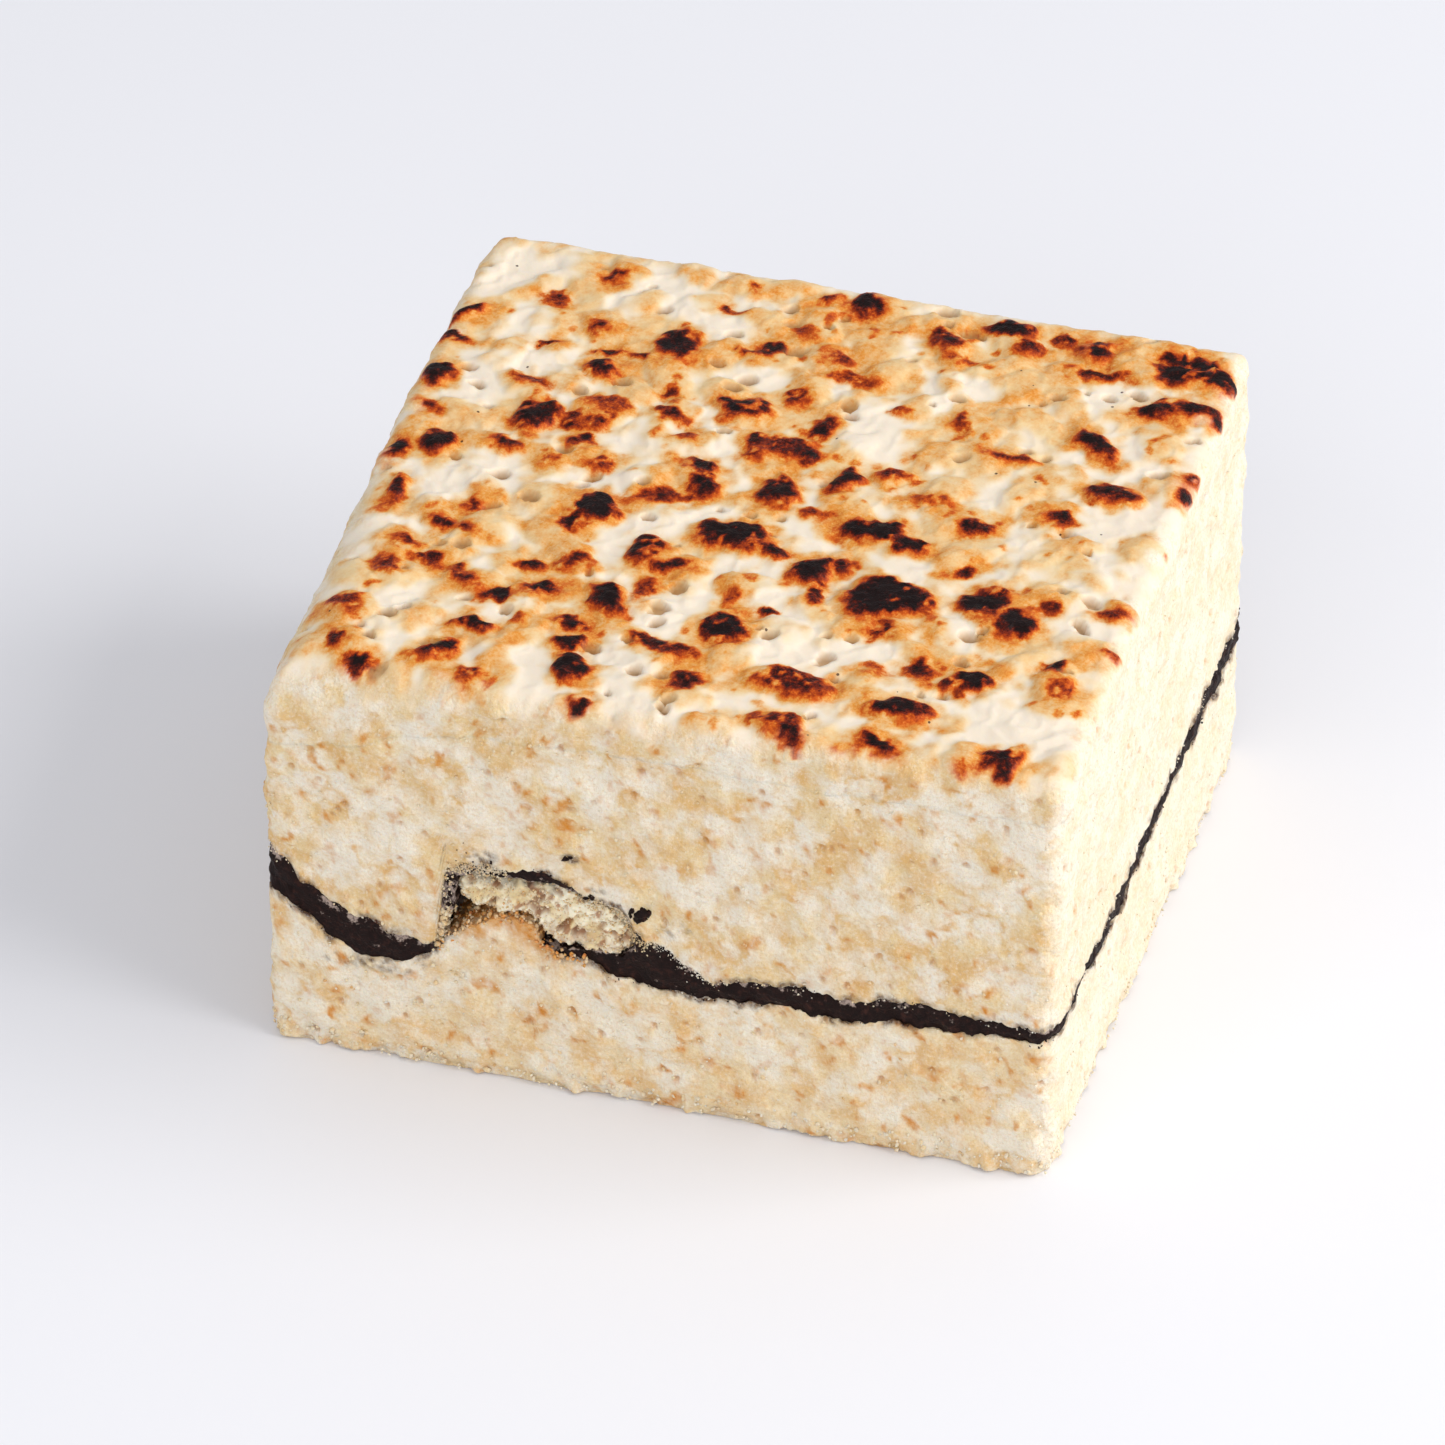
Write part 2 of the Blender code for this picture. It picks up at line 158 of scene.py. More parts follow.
# Smears of chocolate on the front cut: (x, height, half width, half height, strength from 0 to 1).
SMEARS = (
    (-14.8, 22.1, 1.9, 1.1, 0.8),
    (-16.9, 18.4, 0.5, 2.2, 0.7),
    (-7.0, 23.7, 0.9, 0.6, 0.9),
    (-4.9, 20.9, 1.2, 0.5, 0.6),
    (1.4, 18.2, 2.0, 1.2, 0.5),
    (-24.5, 9.5, 4.8, 1.1, 0.75),
    (-19.6, 10.4, 1.6, 0.8, 0.6),
)
BREAK_DEPTH = 6.4
CLUMP_DEPTH = 4.6
CLUMP_INSET = -0.3
BREAK_TAPER = ((0.0, 1.0), (0.7, 1.0), (1.0, 0.7))
CLUMP_TAPER = ((0.0, 0.9), (0.15, 1.0), (0.5, 1.0), (0.85, 0.9), (1.0, 0.65))
CLUMP_CELL = 0.12

# Places on the toasted face are given as seen from high in front on a level plane at SIGHT_LEVEL. The face
# stands higher than that, so what lies on it is nearer to the viewer by SIGHT_LEAN for each millimetre.
SIGHT_LEVEL = 38.2
SIGHT_LEAN = (0.39, -1.26)

# The largest grains on the toasted face: (x, y, length, width, turn in degrees).
LUMPS = (
    (-31.8, 19.4, 3.2, 1.8, 50),
    (-31.6, 10.4, 2.6, 3.0, 0),
    (-28.3, 1.7, 2.8, 2.8, 0),
    (-29.3, -5.5, 1.8, 2.6, 0),
    (-13.6, 19.9, 3.8, 4.0, 0),
    (-18.8, 14.8, 3.0, 2.0, 0),
    (-17.0, 9.2, 5.0, 4.2, 30),
    (-21.7, 6.9, 3.2, 2.8, -50),
    (-5.6, 12.4, 4.8, 3.4, 0),
    (-1.8, 8.4, 7.0, 3.2, 0),
    (-6.3, 2.6, 4.6, 3.0, -40),
    (0.2, 2.2, 2.8, 3.8, 0),
    (4.7, 5.5, 2.2, 3.2, 0),
    (8.2, 6.9, 3.4, 2.4, 0),
    (10.0, -1.0, 6.6, 3.0, -12),
    (-13.4, -4.4, 3.6, 4.2, 30),
    (-1.0, -4.8, 7.6, 3.2, -8),
    (-7.0, -8.6, 3.8, 3.8, -40),
    (5.8, -7.4, 3.0, 3.2, 0),
    (12.2, -9.2, 7.0, 4.6, 8),
    (21.4, -8.6, 6.4, 4.8, -30),
    (-8.6, -15.6, 4.0, 2.9, -40),
    (1.4, -16.1, 3.2, 3.8, 0),
    (-8.5, -24.8, 2.6, 2.8, 0),
    (-19.5, -25.3, 3.8, 2.0, 45),
    (-17.6, -21.6, 3.2, 1.8, 0),
    (7.8, -21.8, 6.4, 3.2, -5),
    (17.4, -22.6, 4.8, 2.3, 0),
    (21.4, -17.8, 3.2, 2.3, 25),
    (9.0, -27.2, 4.4, 2.2, -15),
    (26.7, -26.6, 3.0, 2.6, 0),
    (27.8, -16.0, 3.0, 4.6, -10),
    (26.0, 9.7, 3.8, 2.6, 0),
    (22.7, 15.7, 4.8, 2.2, -35),
    (28.7, 27.2, 7.0, 2.8, 0),
    (28.4, 22.4, 5.6, 2.4, 8),
    (19.4, 28.4, 3.0, 3.0, 0),
    (12.6, 28.8, 5.4, 3.0, -35),
    (7.8, 26.0, 4.4, 2.4, -60),
)
LUMP_HEIGHT = 1.0
GRAIN_SPACING = 5.0
GRAIN_PLAY = 1.25
GRAIN_TURN = 1.2
GRAIN_LENGTH = (3.6, 5.6)
GRAIN_WIDTH = (2.3, 3.2)
GRAIN_HEIGHT = (0.35, 0.8)
GRAIN_CLEARANCE = 1.3
GRAIN_SEED = 7
CAP_SPREAD = 1.25
GROUND_WAVE = 0.15

# Where the torch caught the top: (x, y, length, width, turn in degrees, burn from 0 to 1).
SCORCHES = (
    (-0.3, 30.4, 2.2, 2.6, 0, 1.0),
    (-3.3, 29.9, 2.0, 1.5, 0, 0.6),
    (11.7, 29.7, 4.0, 2.2, 0, 0.9),
    (14.4, 27.7, 3.0, 2.0, 0, 0.7),
    (19.4, 28.9, 2.8, 2.4, 0, 0.9),
    (16.7, 29.8, 1.6, 1.0, 0, 0.7),
    (20.2, 25.4, 5.0, 1.6, 0, 0.65),
    (27.0, 27.2, 4.0, 2.6, 0, 1.0),
    (30.4, 27.2, 3.0, 2.4, 0, 1.0),
    (26.0, 29.6, 2.0, 1.5, 0, 1.0),
    (28.0, 29.4, 2.0, 1.5, 0, 1.0),
    (26.4, 21.9, 3.5, 2.2, 0, 0.9),
    (29.4, 22.7, 2.5, 2.0, 0, 0.9),
    (31.0, 22.2, 1.6, 1.2, 0, 0.8),
    (7.2, 26.7, 3.4, 2.0, -60, 0.65),
    (9.2, 24.7, 2.5, 1.4, 0, 0.5),
    (-25.5, 23.9, 2.2, 1.6, 0, 0.6),
    (-31.8, 19.4, 3.2, 1.4, 50, 0.9),
    (-20.6, 20.7, 1.8, 1.8, 0, 0.6),
    (-13.6, 19.9, 3.5, 4.0, 0, 0.85),
    (-19.2, 17.6, 2.2, 1.0, 0, 0.8),
    (-16.3, 17.6, 1.5, 1.0, 0, 0.7),
    (-18.8, 14.8, 2.8, 1.8, 0, 0.9),
    (-24.4, 17.5, 1.3, 0.8, 0, 0.7),
    (-31.6, 16.2, 2.0, 0.9, 0, 0.7),
    (-31.6, 10.4, 2.4, 3.0, 0, 1.0),
    (-23.8, 11.9, 3.5, 1.8, 0, 0.5),
    (-6.1, 21.8, 1.6, 1.8, 0, 0.9),
    (-7.6, 20.4, 1.8, 1.4, 0, 0.6),
    (-5.6, 12.4, 4.6, 3.2, 0, 0.75),
    (-11.4, 10.2, 3.2, 1.2, -25, 0.7),
    (-12.1, 13.2, 1.2, 1.0, 0, 0.6),
    (-17.0, 10.2, 4.0, 2.4, 0, 0.5),
    (-18.8, 7.2, 2.8, 1.4, 0, 0.85),
    (-16.3, 8.0, 1.5, 2.0, 0, 0.7),
    (-21.7, 6.9, 2.8, 3.2, -50, 0.85),
    (-23.0, 2.7, 2.6, 1.6, -30, 0.75),
    (-30.5, 5.7, 2.6, 1.2, 0, 0.5),
    (-28.3, 1.7, 2.6, 2.6, 0, 0.9),
    (-31.3, -0.1, 1.6, 2.8, 0, 0.85),
    (-16.8, 4.9, 1.2, 1.0, 0, 0.8),
    (-14.5, 2.2, 2.2, 1.6, 0, 0.55),
    (-18.5, 1.2, 3.4, 1.4, 0, 0.4),
    (-29.3, -5.5, 1.6, 2.6, 0, 0.85),
    (-23.5, -9.0, 4.0, 1.2, -12, 0.8),
    (-22.8, -5.8, 1.2, 1.0, 0, 0.6),
    (-13.3, -4.0, 3.0, 4.0, 0, 1.0),
    (-14.8, -6.3, 1.8, 1.4, 0, 0.9),
    (-6.8, 4.0, 2.4, 1.6, 0, 0.8),
    (-6.0, 1.7, 2.6, 2.2, 0, 0.9),
    (-8.8, -0.8, 6.0, 1.4, 15, 0.55),
    (-0.3, 8.2, 6.0, 3.0, 0, 0.6),
    (1.2, 7.5, 1.6, 1.6, 0, 0.9),
    (-3.6, 8.2, 2.0, 3.0, 0, 0.75),
    (1.0, 12.0, 1.8, 2.6, 0, 0.85),
    (0.2, 2.2, 2.6, 3.6, 0, 0.85),
    (4.0, 0.4, 2.6, 1.4, 0, 0.5),
    (4.7, 5.5, 2.0, 3.0, 0, 0.95),
    (8.2, 6.9, 3.2, 2.0, 0, 0.55),
    (12.0, 4.7, 3.4, 1.6, 0, 0.45),
    (8.9, -0.6, 4.6, 2.6, 0, 1.0),
    (12.2, -1.5, 3.0, 2.0, 0, 0.95),
    (16.7, 2.2, 2.6, 2.2, 0, 0.75),
    (22.7, 5.2, 2.2, 1.6, 0, 0.8),
    (-1.5, -4.6, 5.5, 3.0, 0, 1.0),
    (2.4, -5.3, 2.0, 1.6, 0, 0.75),
    (5.7, -7.3, 2.8, 2.8, 0, 1.0),
    (7.7, -5.8, 2.4, 1.2, 0, 0.7),
    (6.9, -9.8, 1.4, 3.4, 0, 0.75),
    (12.2, -9.3, 6.0, 4.4, 0, 1.0),
    (15.2, -9.0, 2.0, 2.4, 0, 0.8),
    (13.4, -13.0, 1.8, 1.8, 0, 0.8),
    (17.2, -3.8, 2.4, 1.2, 40, 0.75),
    (20.0, -7.5, 3.6, 3.4, 0, 1.0),
    (23.0, -9.8, 3.2, 3.0, 0, 1.0),
    (25.2, -7.0, 2.2, 1.8, 0, 0.65),
    (-7.6, -8.3, 3.0, 3.6, 0, 0.8),
    (-4.8, -9.8, 2.4, 1.6, 0, 0.7),
    (-6.0, -13.0, 1.6, 2.4, 0, 0.55),
    (-12.6, -11.1, 3.0, 2.0, 0, 0.6),
    (-15.6, -12.3, 1.8, 1.2, 0, 0.8),
    (-26.3, -12.3, 2.4, 1.4, 0, 0.6),
    (-23.8, -13.8, 2.0, 1.6, 0, 0.75),
    (-20.8, -15.3, 3.0, 1.6, -35, 0.65),
    (-26.6, -15.8, 2.8, 2.2, 0, 0.6),
    (-14.3, -15.5, 2.4, 1.4, 0, 0.85),
    (-17.2, -17.0, 1.8, 1.4, 35, 0.95),
    (-8.6, -15.6, 3.6, 2.6, -40, 0.95),
    (1.4, -16.3, 3.0, 3.6, 0, 1.0),
    (0.7, -12.3, 1.8, 2.4, 0, 0.5),
    (4.2, -13.2, 1.2, 0.8, 0, 0.8),
    (-10.3, -19.1, 2.6, 1.2, -20, 0.9),
    (-9.6, -21.6, 2.0, 1.2, 0, 0.85),
    (-17.6, -21.6, 3.0, 1.6, 0, 0.95),
    (-28.8, -21.8, 2.6, 1.6, 0, 0.55),
    (-14.3, -20.1, 1.6, 1.2, 0, 0.4),
    (-8.5, -24.8, 2.4, 2.6, 0, 1.0),
    (-19.5, -25.3, 3.6, 1.6, 45, 0.9),
    (-27.1, -26.0, 1.6, 1.2, 0, 0.7),
    (-24.8, -28.0, 1.6, 1.2, 0, 0.85),
    (-2.8, -20.1, 6.0, 1.8, -15, 0.65),
    (0.5, -23.5, 3.0, 1.6, 40, 0.8),
    (8.2, -21.8, 6.0, 3.0, 0, 0.65),
    (17.2, -17.0, 2.4, 1.8, 0, 0.8),
    (21.4, -17.8, 3.0, 2.0, 25, 0.95),
    (14.0, -18.0, 2.0, 1.4, 0, 0.4),
    (17.4, -22.6, 4.6, 2.0, 0, 0.85),
    (27.5, -14.3, 2.0, 2.4, 0, 0.75),
    (28.5, -17.3, 2.6, 3.0, 0, 0.5),
    (30.2, -6.0, 2.2, 1.0, 0, 0.6),
    (30.9, -10.8, 1.2, 1.0, 0, 0.5),
    (8.7, -27.0, 4.2, 2.0, 0, 0.6),
    (10.2, -28.1, 1.6, 1.4, 0, 0.8),
    (16.5, -27.1, 3.0, 1.6, 0, 0.9),
    (26.7, -26.6, 2.8, 2.4, 0, 0.9),
    (23.7, -27.6, 1.6, 1.6, 0, 0.4),
    (-16.0, -27.8, 2.6, 1.6, 0, 0.6),
    (-6.8, -29.2, 1.4, 1.4, 0, 0.85),
    (22.7, 15.7, 4.5, 1.8, -35, 0.85),
    (12.0, 15.7, 1.8, 2.4, 0, 0.5),
    (26.0, 9.7, 3.6, 2.2, 0, 0.75),
    (31.3, 13.7, 1.8, 2.0, 0, 0.6),
    (31.6, 10.9, 1.4, 1.6, 0, 0.8),
    (16.7, 12.2, 4.6, 1.2, 0, 0.55),
    (1.0, 19.2, 5.0, 2.0, 0, 0.45),
    (-0.3, 21.5, 2.0, 1.2, 0, 0.6),
    (-2.3, 15.5, 1.6, 2.4, 0, 0.6),
    (-4.3, 24.5, 2.6, 2.0, 0, 0.45),
    (-21.8, 28.5, 1.6, 1.4, 0, 0.6),
    (-9.1, 7.7, 1.6, 1.2, 0, 0.5),
    (-11.1, 26.2, 1.6, 0.7, 0, 0.6),
    (-9.8, 29.4, 1.6, 1.2, 0, 0.5),
    (6.2, 16.0, 1.4, 1.0, 0, 0.5),
)

# How finely the pieces are divided: cells along x, along y and all the way round.
CELLS_X = 308
CELLS_Y = 282
AROUND = 2 * (CELLS_X + CELLS_Y)

# The crust runs down the cut sides by this much, to where it meets the body of the upper slab, and its
# underside is a little narrower. Rings are rows of cells round the cut sides.
CRUST_SIDE = 2.4
CRUST_RINGS = 8
CAP_SHRINK = 0.93
BODY_RINGS = 66
BASE_RINGS = 50
CHOCOLATE_RINGS = 14

# Rings that run in under and over the chocolate, as distances from the cut side, and the one that closes the
# top of the upper slab's body. A raw cylinder's radius stands for RAW_RADIUS millimetres of them.
INWARD = (0.35, 0.7, 1.1, 1.5, 2.0, 2.6, 3.3, 4.1, 5.0, 6.0, 7.2)
BODY_TOP = (2.0,)
RAW_RADIUS = 10.0

# The melted coat levels off the grains towards this height, holds small open bubbles, and runs over the
# rounded top edge by this share of its radius. The edge's arc is QUARTER_ARC times its radius long.
FLAT_TOPS = 0.85
PITS = 110
PIT_SEED = 19
COAT_RUN = 0.75
QUARTER_ARC = 1.57

# Loose crumbs: on the cut sides, along the chocolate, in and round the break, and of chocolate. The seeds are
# for where they lie and for how each one is shaped.
SIDE_CRUMBS = 3200
EDGE_CRUMBS = 1400
BREAK_CRUMBS = 3400
CHOCOLATE_CRUMBS = 260
CRUMB_SEEDS = (107, 109)
CHOCOLATE_CRUMB_SEEDS = (113, 127)

# Where crumbs of the break lie: on the clump, on the floor under it, heaped at its left, on the left wall,
# along the chocolate at its right, and along the film of chocolate over it. Each row has the share of crumbs
# that it and the rows above it take, the smallest and the largest size, and how brown its crumbs get.
BREAK_PLACES = (
    (0.46, 0.12, 0.34, 0.7),
    (0.78, 0.2, 0.5, 1.0),
    (0.84, 0.25, 0.65, 0.5),
    (0.85, 0.1, 0.3, 0.6),
    (0.92, 0.1, 0.26, 0.3),
    (1.0, 0.1, 0.24, 0.5),
)

# The relief of the toasted face is worked out on an even raster before it is laid on the mesh.
RASTER_STEP = 0.1
RASTER_HALF = (34.0, 31.5)

# Large primes that scramble a cell's numbers, and the turn that keeps patterns off the square's own axes.
HASH_PRIMES = np.array((374761393, 668265263, 2147483629))
TILT = np.array(Euler((0.62, 0.41, 0.93)).to_matrix())

SMOOTH_ANGLE = 75.0


def smooth(t):
    """Eases 0 to 1, flat at both ends, and clamped."""
    t = np.clip(t, 0.0, 1.0)
    return t * t * (3.0 - 2.0 * t)


def between(low, high, value):
    """0 below low, 1 above high, and eased between them."""
    return smooth((value - low) / (high - low))


def points_at(x, y, z=0.0):
    """One row of x, y and z for each point."""
    return np.stack((x, y, np.zeros_like(x) + z), axis=1)


def hashed(cells, seed):
    """An even random number from 0 to 1 for each whole-number cell."""
    mixed = (cells * HASH_PRIMES).sum(axis=-1) + seed * 104729
    mixed = (mixed ^ (mixed >> 13)) * 1274126177
    mixed = (mixed ^ (mixed >> 16)) * 668265263
    mixed = mixed ^ (mixed >> 15)
    return (mixed & 0xFFFFFF) / float(0x1000000)


def ripple(points, size, seed):
    """Smooth random values from -1 to 1 that change over about size millimetres."""
    placed = points @ TILT / size + seed * 7.13
    corner = np.floor(placed).astype(np.int64)
    share = placed - corner
    share = share * share * (3.0 - 2.0 * share)
    total = np.zeros(len(points))
    for step in itertools.product((0, 1), repeat=3):
        weight = np.prod(np.where(np.array(step) == 1, share, 1.0 - share), axis=1)
        total += weight * hashed(corner + step, seed)
    return total * 2.0 - 1.0


def grains_near(points, size, seed):
    """Scattered cells about size millimetres wide: how far a point lies inside the border of its own cell,
    how far it lies from the cell's middle, and the cell's own random number."""
    placed = points @ TILT / size
    home = np.floor(placed).astype(np.int64)
    nearest = np.full(len(points), 9.0)
    second = np.full(len(points), 9.0)
    value = np.zeros(len(points))
    for step in itertools.product((-1, 0, 1), repeat=3):
        cell = home + step
        random_number = hashed(cell, seed)
        middle = np.stack((random_number, hashed(cell, seed + 1), hashed(cell, seed + 2)), axis=1)
        distance = np.linalg.norm(cell + middle - placed, axis=1)
        closer = distance < nearest
        second = np.where(closer, nearest, np.minimum(second, distance))
        value = np.where(closer, random_number, value)
        nearest = np.where(closer, distance, nearest)
    return (second - nearest) * size, nearest * size, value


def part_noise(x, y, z, size, seed):
    """The same slow noise that shapes the solid part."""
    return np.array([noise.noise(Vector((a / size + seed, b / size, c / size))) for a, b, c in zip(x, y, z)])


def along_front(x, side):
    """Height of the chocolate's underside (side 1) or upper side (side 2) on the front cut."""
    table = np.array(FRONT_CHOCOLATE)
    step = np.clip(np.searchsorted(table[:, 0], x) - 1, 0, len(table) - 2)
    share = smooth((x - table[step, 0]) / (table[step + 1, 0] - table[step, 0]))
    return table[step, side] + (table[step + 1, side] - table[step, side]) * share


def chocolate_level(x, y, side):
    """Height of the middle of the seam under (side 1) or over (side 2) the chocolate."""
    at_front = 1.0 - smooth((y + DEPTH / 2 - BREAK_DEPTH) / FRONT_REACH)
    level = np.zeros_like(x)
    wave = CHOCOLATE_WAVE * (
        part_noise(x, y, level, 9.0, 11.0) + 0.6 * part_noise(x, y, level + side, 5.0, 29.0)
    )
    inner = INNER_CHOCOLATE[side - 1] + wave
    return inner + (along_front(x, side) - inner) * at_front


def ragged_level(x, y, side):
    """The chocolate's level with the crumbled edge that the knife left."""
    flat = points_at(x, y, 40.0 * side)
    crumble = 0.24 * ripple(flat, 1.1, 3 + side) + 0.2 * ripple(flat, 0.45, 5 + side)
    crumble += 0.12 * ripple(flat, 0.25, 7 + side)
    return chocolate_level(x, y, side) + crumble


def cut_shift(x, y, up):
    """How far the hand cut moves a point of the true rectangle, at 0 to 1 of the height."""
    across, along = x / WIDTH + 0.5, y / DEPTH + 0.5
    weights = ((1 - across) * (1 - along), across * (1 - along), across * along, (1 - across) * along)
    shift = [0.0, 0.0, 0.0]
    for weight, base, top in zip(weights, BASE_CORNERS, TOP_CORNERS):
        for axis in range(3):
            shift[axis] = shift[axis] + weight * (base[axis] + (top[axis] - base[axis]) * up)
    return shift


def top_level(x, y):
    """Height of the marshmallow between the grains."""
    return HEIGHT + cut_shift(x, y, 1.0)[2]


def on_top(x, y):
    """Where a place seen on the toasted face lies on the true box."""
    shift = cut_shift(x, y, 1.0)
    raised = HEIGHT + shift[2] - SIGHT_LEVEL
    return x + SIGHT_LEAN[0] * raised - shift[0], y + SIGHT_LEAN[1] * raised - shift[1]


def on_plan(x, y, z):
    """Where points of the true rectangle lie on the hand-cut square, and which way is outwards there."""
    shift_x, shift_y, _ = cut_shift(x, y, np.clip(z / HEIGHT, 0.0, 1.0))
    inset = UPRIGHT_EDGE_RADIUS
    over_x = np.abs(x) - (WIDTH / 2 - inset)
    over_y = np.abs(y) - (DEPTH / 2 - inset)
    corner = (over_x > 0.0) & (over_y > 0.0)
    reach = np.hypot(over_x, over_y)
    keep = np.where(corner, np.maximum(over_x, over_y) / np.maximum(reach, 1e-6), 1.0)
    pulled_x = x - np.where(corner, np.sign(x) * over_x * (1.0 - keep), 0.0)
    pulled_y = y - np.where(corner, np.sign(y) * over_y * (1.0 - keep), 0.0)
    gap_x, gap_y = WIDTH / 2 - np.abs(x), DEPTH / 2 - np.abs(y)
    out_x = np.where(corner, over_x, np.where(gap_x < gap_y, 1.0, 0.0)) * np.sign(x)
    out_y = np.where(corner, over_y, np.where(gap_x < gap_y, 0.0, 1.0)) * np.sign(y)
    length = np.maximum(np.hypot(out_x, out_y), 1e-6)
    return points_at(pulled_x + shift_x, pulled_y + shift_y, z), points_at(out_x / length, out_y / length)


def top_edge_radius(x, y):
    """How far the top edge is rounded: most where the front-left corner is worn."""
    toward_left = smooth((-x - WEAR_START[0]) / WEAR_REACH[0])
    toward_front = smooth((-y - WEAR_START[1]) / WEAR_REACH[1])
    return TOP_EDGE_RADIUS + (WORN_EDGE_RADIUS - TOP_EDGE_RADIUS) * toward_left * toward_front


def scattered_grains():
    """Every grain on top, on the true rectangle: (x, y, half length, half width, turn in radians, height)."""
    draw = random.Random(GRAIN_SEED)
    grains = []
    for x, y, length, width, turn in LUMPS:
        grains.append((*on_top(x, y), length / 2, width / 2, math.radians(turn), LUMP_HEIGHT))
    line_gap = GRAIN_SPACING * math.sqrt(3.0) / 2.0
    for row in range(int(DEPTH / line_gap) + 1):
        for column in range(int(WIDTH / GRAIN_SPACING) + 1):
            from_left = (column + 0.5 * (row % 2)) * GRAIN_SPACING
            x = -WIDTH / 2 + from_left + draw.uniform(-GRAIN_PLAY, GRAIN_PLAY)
            y = -DEPTH / 2 + row * line_gap + draw.uniform(-GRAIN_PLAY, GRAIN_PLAY)
            length = draw.uniform(*GRAIN_LENGTH)
            width = draw.uniform(*GRAIN_WIDTH)
            turn = draw.uniform(-GRAIN_TURN, GRAIN_TURN)
            height = draw.uniform(*GRAIN_HEIGHT)
            lumps = grains[: len(LUMPS)]
            if all(math.hypot(x - lump[0], y - lump[1]) > lump[2] + GRAIN_CLEARANCE for lump in lumps):
                grains.append((x, y, length / 2, width / 2, turn, height))
    return grains


class Raster:
    """Even grids over the toasted face, read anywhere between their points."""

    def __init__(self):
        across = np.arange(-RASTER_HALF[0], RASTER_HALF[0] + RASTER_STEP, RASTER_STEP)
        along = np.arange(-RASTER_HALF[1], RASTER_HALF[1] + RASTER_STEP, RASTER_STEP)
        self.x, self.y = np.meshgrid(across, along)
        self.flat = points_at(self.x.ravel(), self.y.ravel())

    def window(self, x, y, reach):
        """The part of the grids within reach of a place."""
        first_x = max(0, int((x - reach + RASTER_HALF[0]) / RASTER_STEP))
        last_x = max(0, int((x + reach + RASTER_HALF[0]) / RASTER_STEP) + 2)
        first_y = max(0, int((y - reach + RASTER_HALF[1]) / RASTER_STEP))
        last_y = max(0, int((y + reach + RASTER_HALF[1]) / RASTER_STEP) + 2)
        return slice(first_y, last_y), slice(first_x, last_x)

    def noise(self, size, seed):
        return ripple(self.flat, size, seed).reshape(self.x.shape)

    def read(self, grid, x, y):
        """The grid's value at each place."""
        at_x = np.clip((x + RASTER_HALF[0]) / RASTER_STEP, 0, grid.shape[1] - 1.001)
        at_y = np.clip((y + RASTER_HALF[1]) / RASTER_STEP, 0, grid.shape[0] - 1.001)
        col, row = at_x.astype(int), at_y.astype(int)
        share_x, share_y = at_x - col, at_y - row
        low = grid[row, col] * (1 - share_x) + grid[row, col + 1] * share_x
        high = grid[row + 1, col] * (1 - share_x) + grid[row + 1, col + 1] * share_x
        return low * (1 - share_y) + high * share_y


def ellipse(raster, part, x, y, half_length, half_width, turn, warp):
    """How far out from a grain's middle each point of a window lies: 1 on its outline."""
    dx = raster.x[part] + warp[0][part] - x
    dy = raster.y[part] + warp[1][part] - y
    along = (dx * math.cos(turn) + dy * math.sin(turn)) / half_length
    across = (dy * math.cos(turn) - dx * math.sin(turn)) / half_width
    return np.hypot(along, across)


def raised_grains(raster, wander):
    """How high the grains stand up under the melted coat, in millimetres."""
    soft = np.zeros(raster.x.shape)
    for x, y, half_length, half_width, turn, height in scattered_grains():
        part = raster.window(x, y, half_length * 1.4 + 1.5)
        out = ellipse(raster, part, x, y, half_length, half_width, turn, wander)
        cap = 0.95 * height * np.maximum(0.0, 1.0 - out**2 / CAP_SPREAD / 1.15) ** 0.8
        soft[part] += cap**2.2
    return soft ** (1.0 / 2.2)


def scorched(raster, fray):
    """Where the torch caught the face, the warm glow round those places, and the crests that they raise."""
    burn = np.zeros(raster.x.shape)
    glow = np.zeros(raster.x.shape)
    lift = np.zeros(raster.x.shape)
    for x, y, length, width, turn, heat in SCORCHES:
        place = on_top(x, y)
        middle_width = math.sqrt(length * width)
        part = raster.window(*place, length / 2 + 4.5)
        out = ellipse(raster, part, *place, length / 2, width / 2, math.radians(turn), fray)
        beyond = (out - 1.0) * middle_width / 2
        toward_viewer = np.clip((place[1] - raster.y[part]) / (width / 2 + 0.6), -1.0, 1.0)
        reach = 0.75 + 0.5 * toward_viewer
        core = min(0.9, 0.42 * middle_width)
        fading = (1.0 - between(-core, reach, beyond)) ** 0.85
        seared = heat * fading * (1.0 - 0.28 * np.maximum(toward_viewer, 0.0))
        burn[part] = np.maximum(burn[part], seared)
        glow[part] = np.maximum(glow[part], (0.4 + 0.6 * heat) * (1.0 - between(0.0, 2.8, beyond)))
        crest = 0.22 * heat * min(1.0, middle_width / 2.6)
        lift[part] = np.maximum(lift[part], crest * np.maximum(0.0, 1.0 - out**2 / 1.2) ** 0.7)
    return burn, glow, lift


def open_bubbles(raster, burn, wander):
    """Small pits that bubbles left in the coat, where it isn't burnt."""
    pit = np.zeros(raster.x.shape)
    draw = random.Random(PIT_SEED)
    made = 0
    while made < PITS:
        x, y = draw.uniform(-31, 31), draw.uniform(-28, 28)
        half_length = draw.uniform(0.3, 0.95)
        half_width = half_length * draw.uniform(0.5, 0.8)
        turn = draw.uniform(-0.5, 0.5)
        here = np.array((x,)), np.array((y,))
        if raster.read(burn, *here)[0] > 0.2:
            continue
        part = raster.window(x, y, 2.0)
        out = ellipse(raster, part, x, y, half_length, half_width, turn, (0.3 * wander[0], 0.3 * wander[1]))
        pit[part] = np.maximum(pit[part], 1.0 - between(0.75, 1.1, out))
        made += 1
    return pit


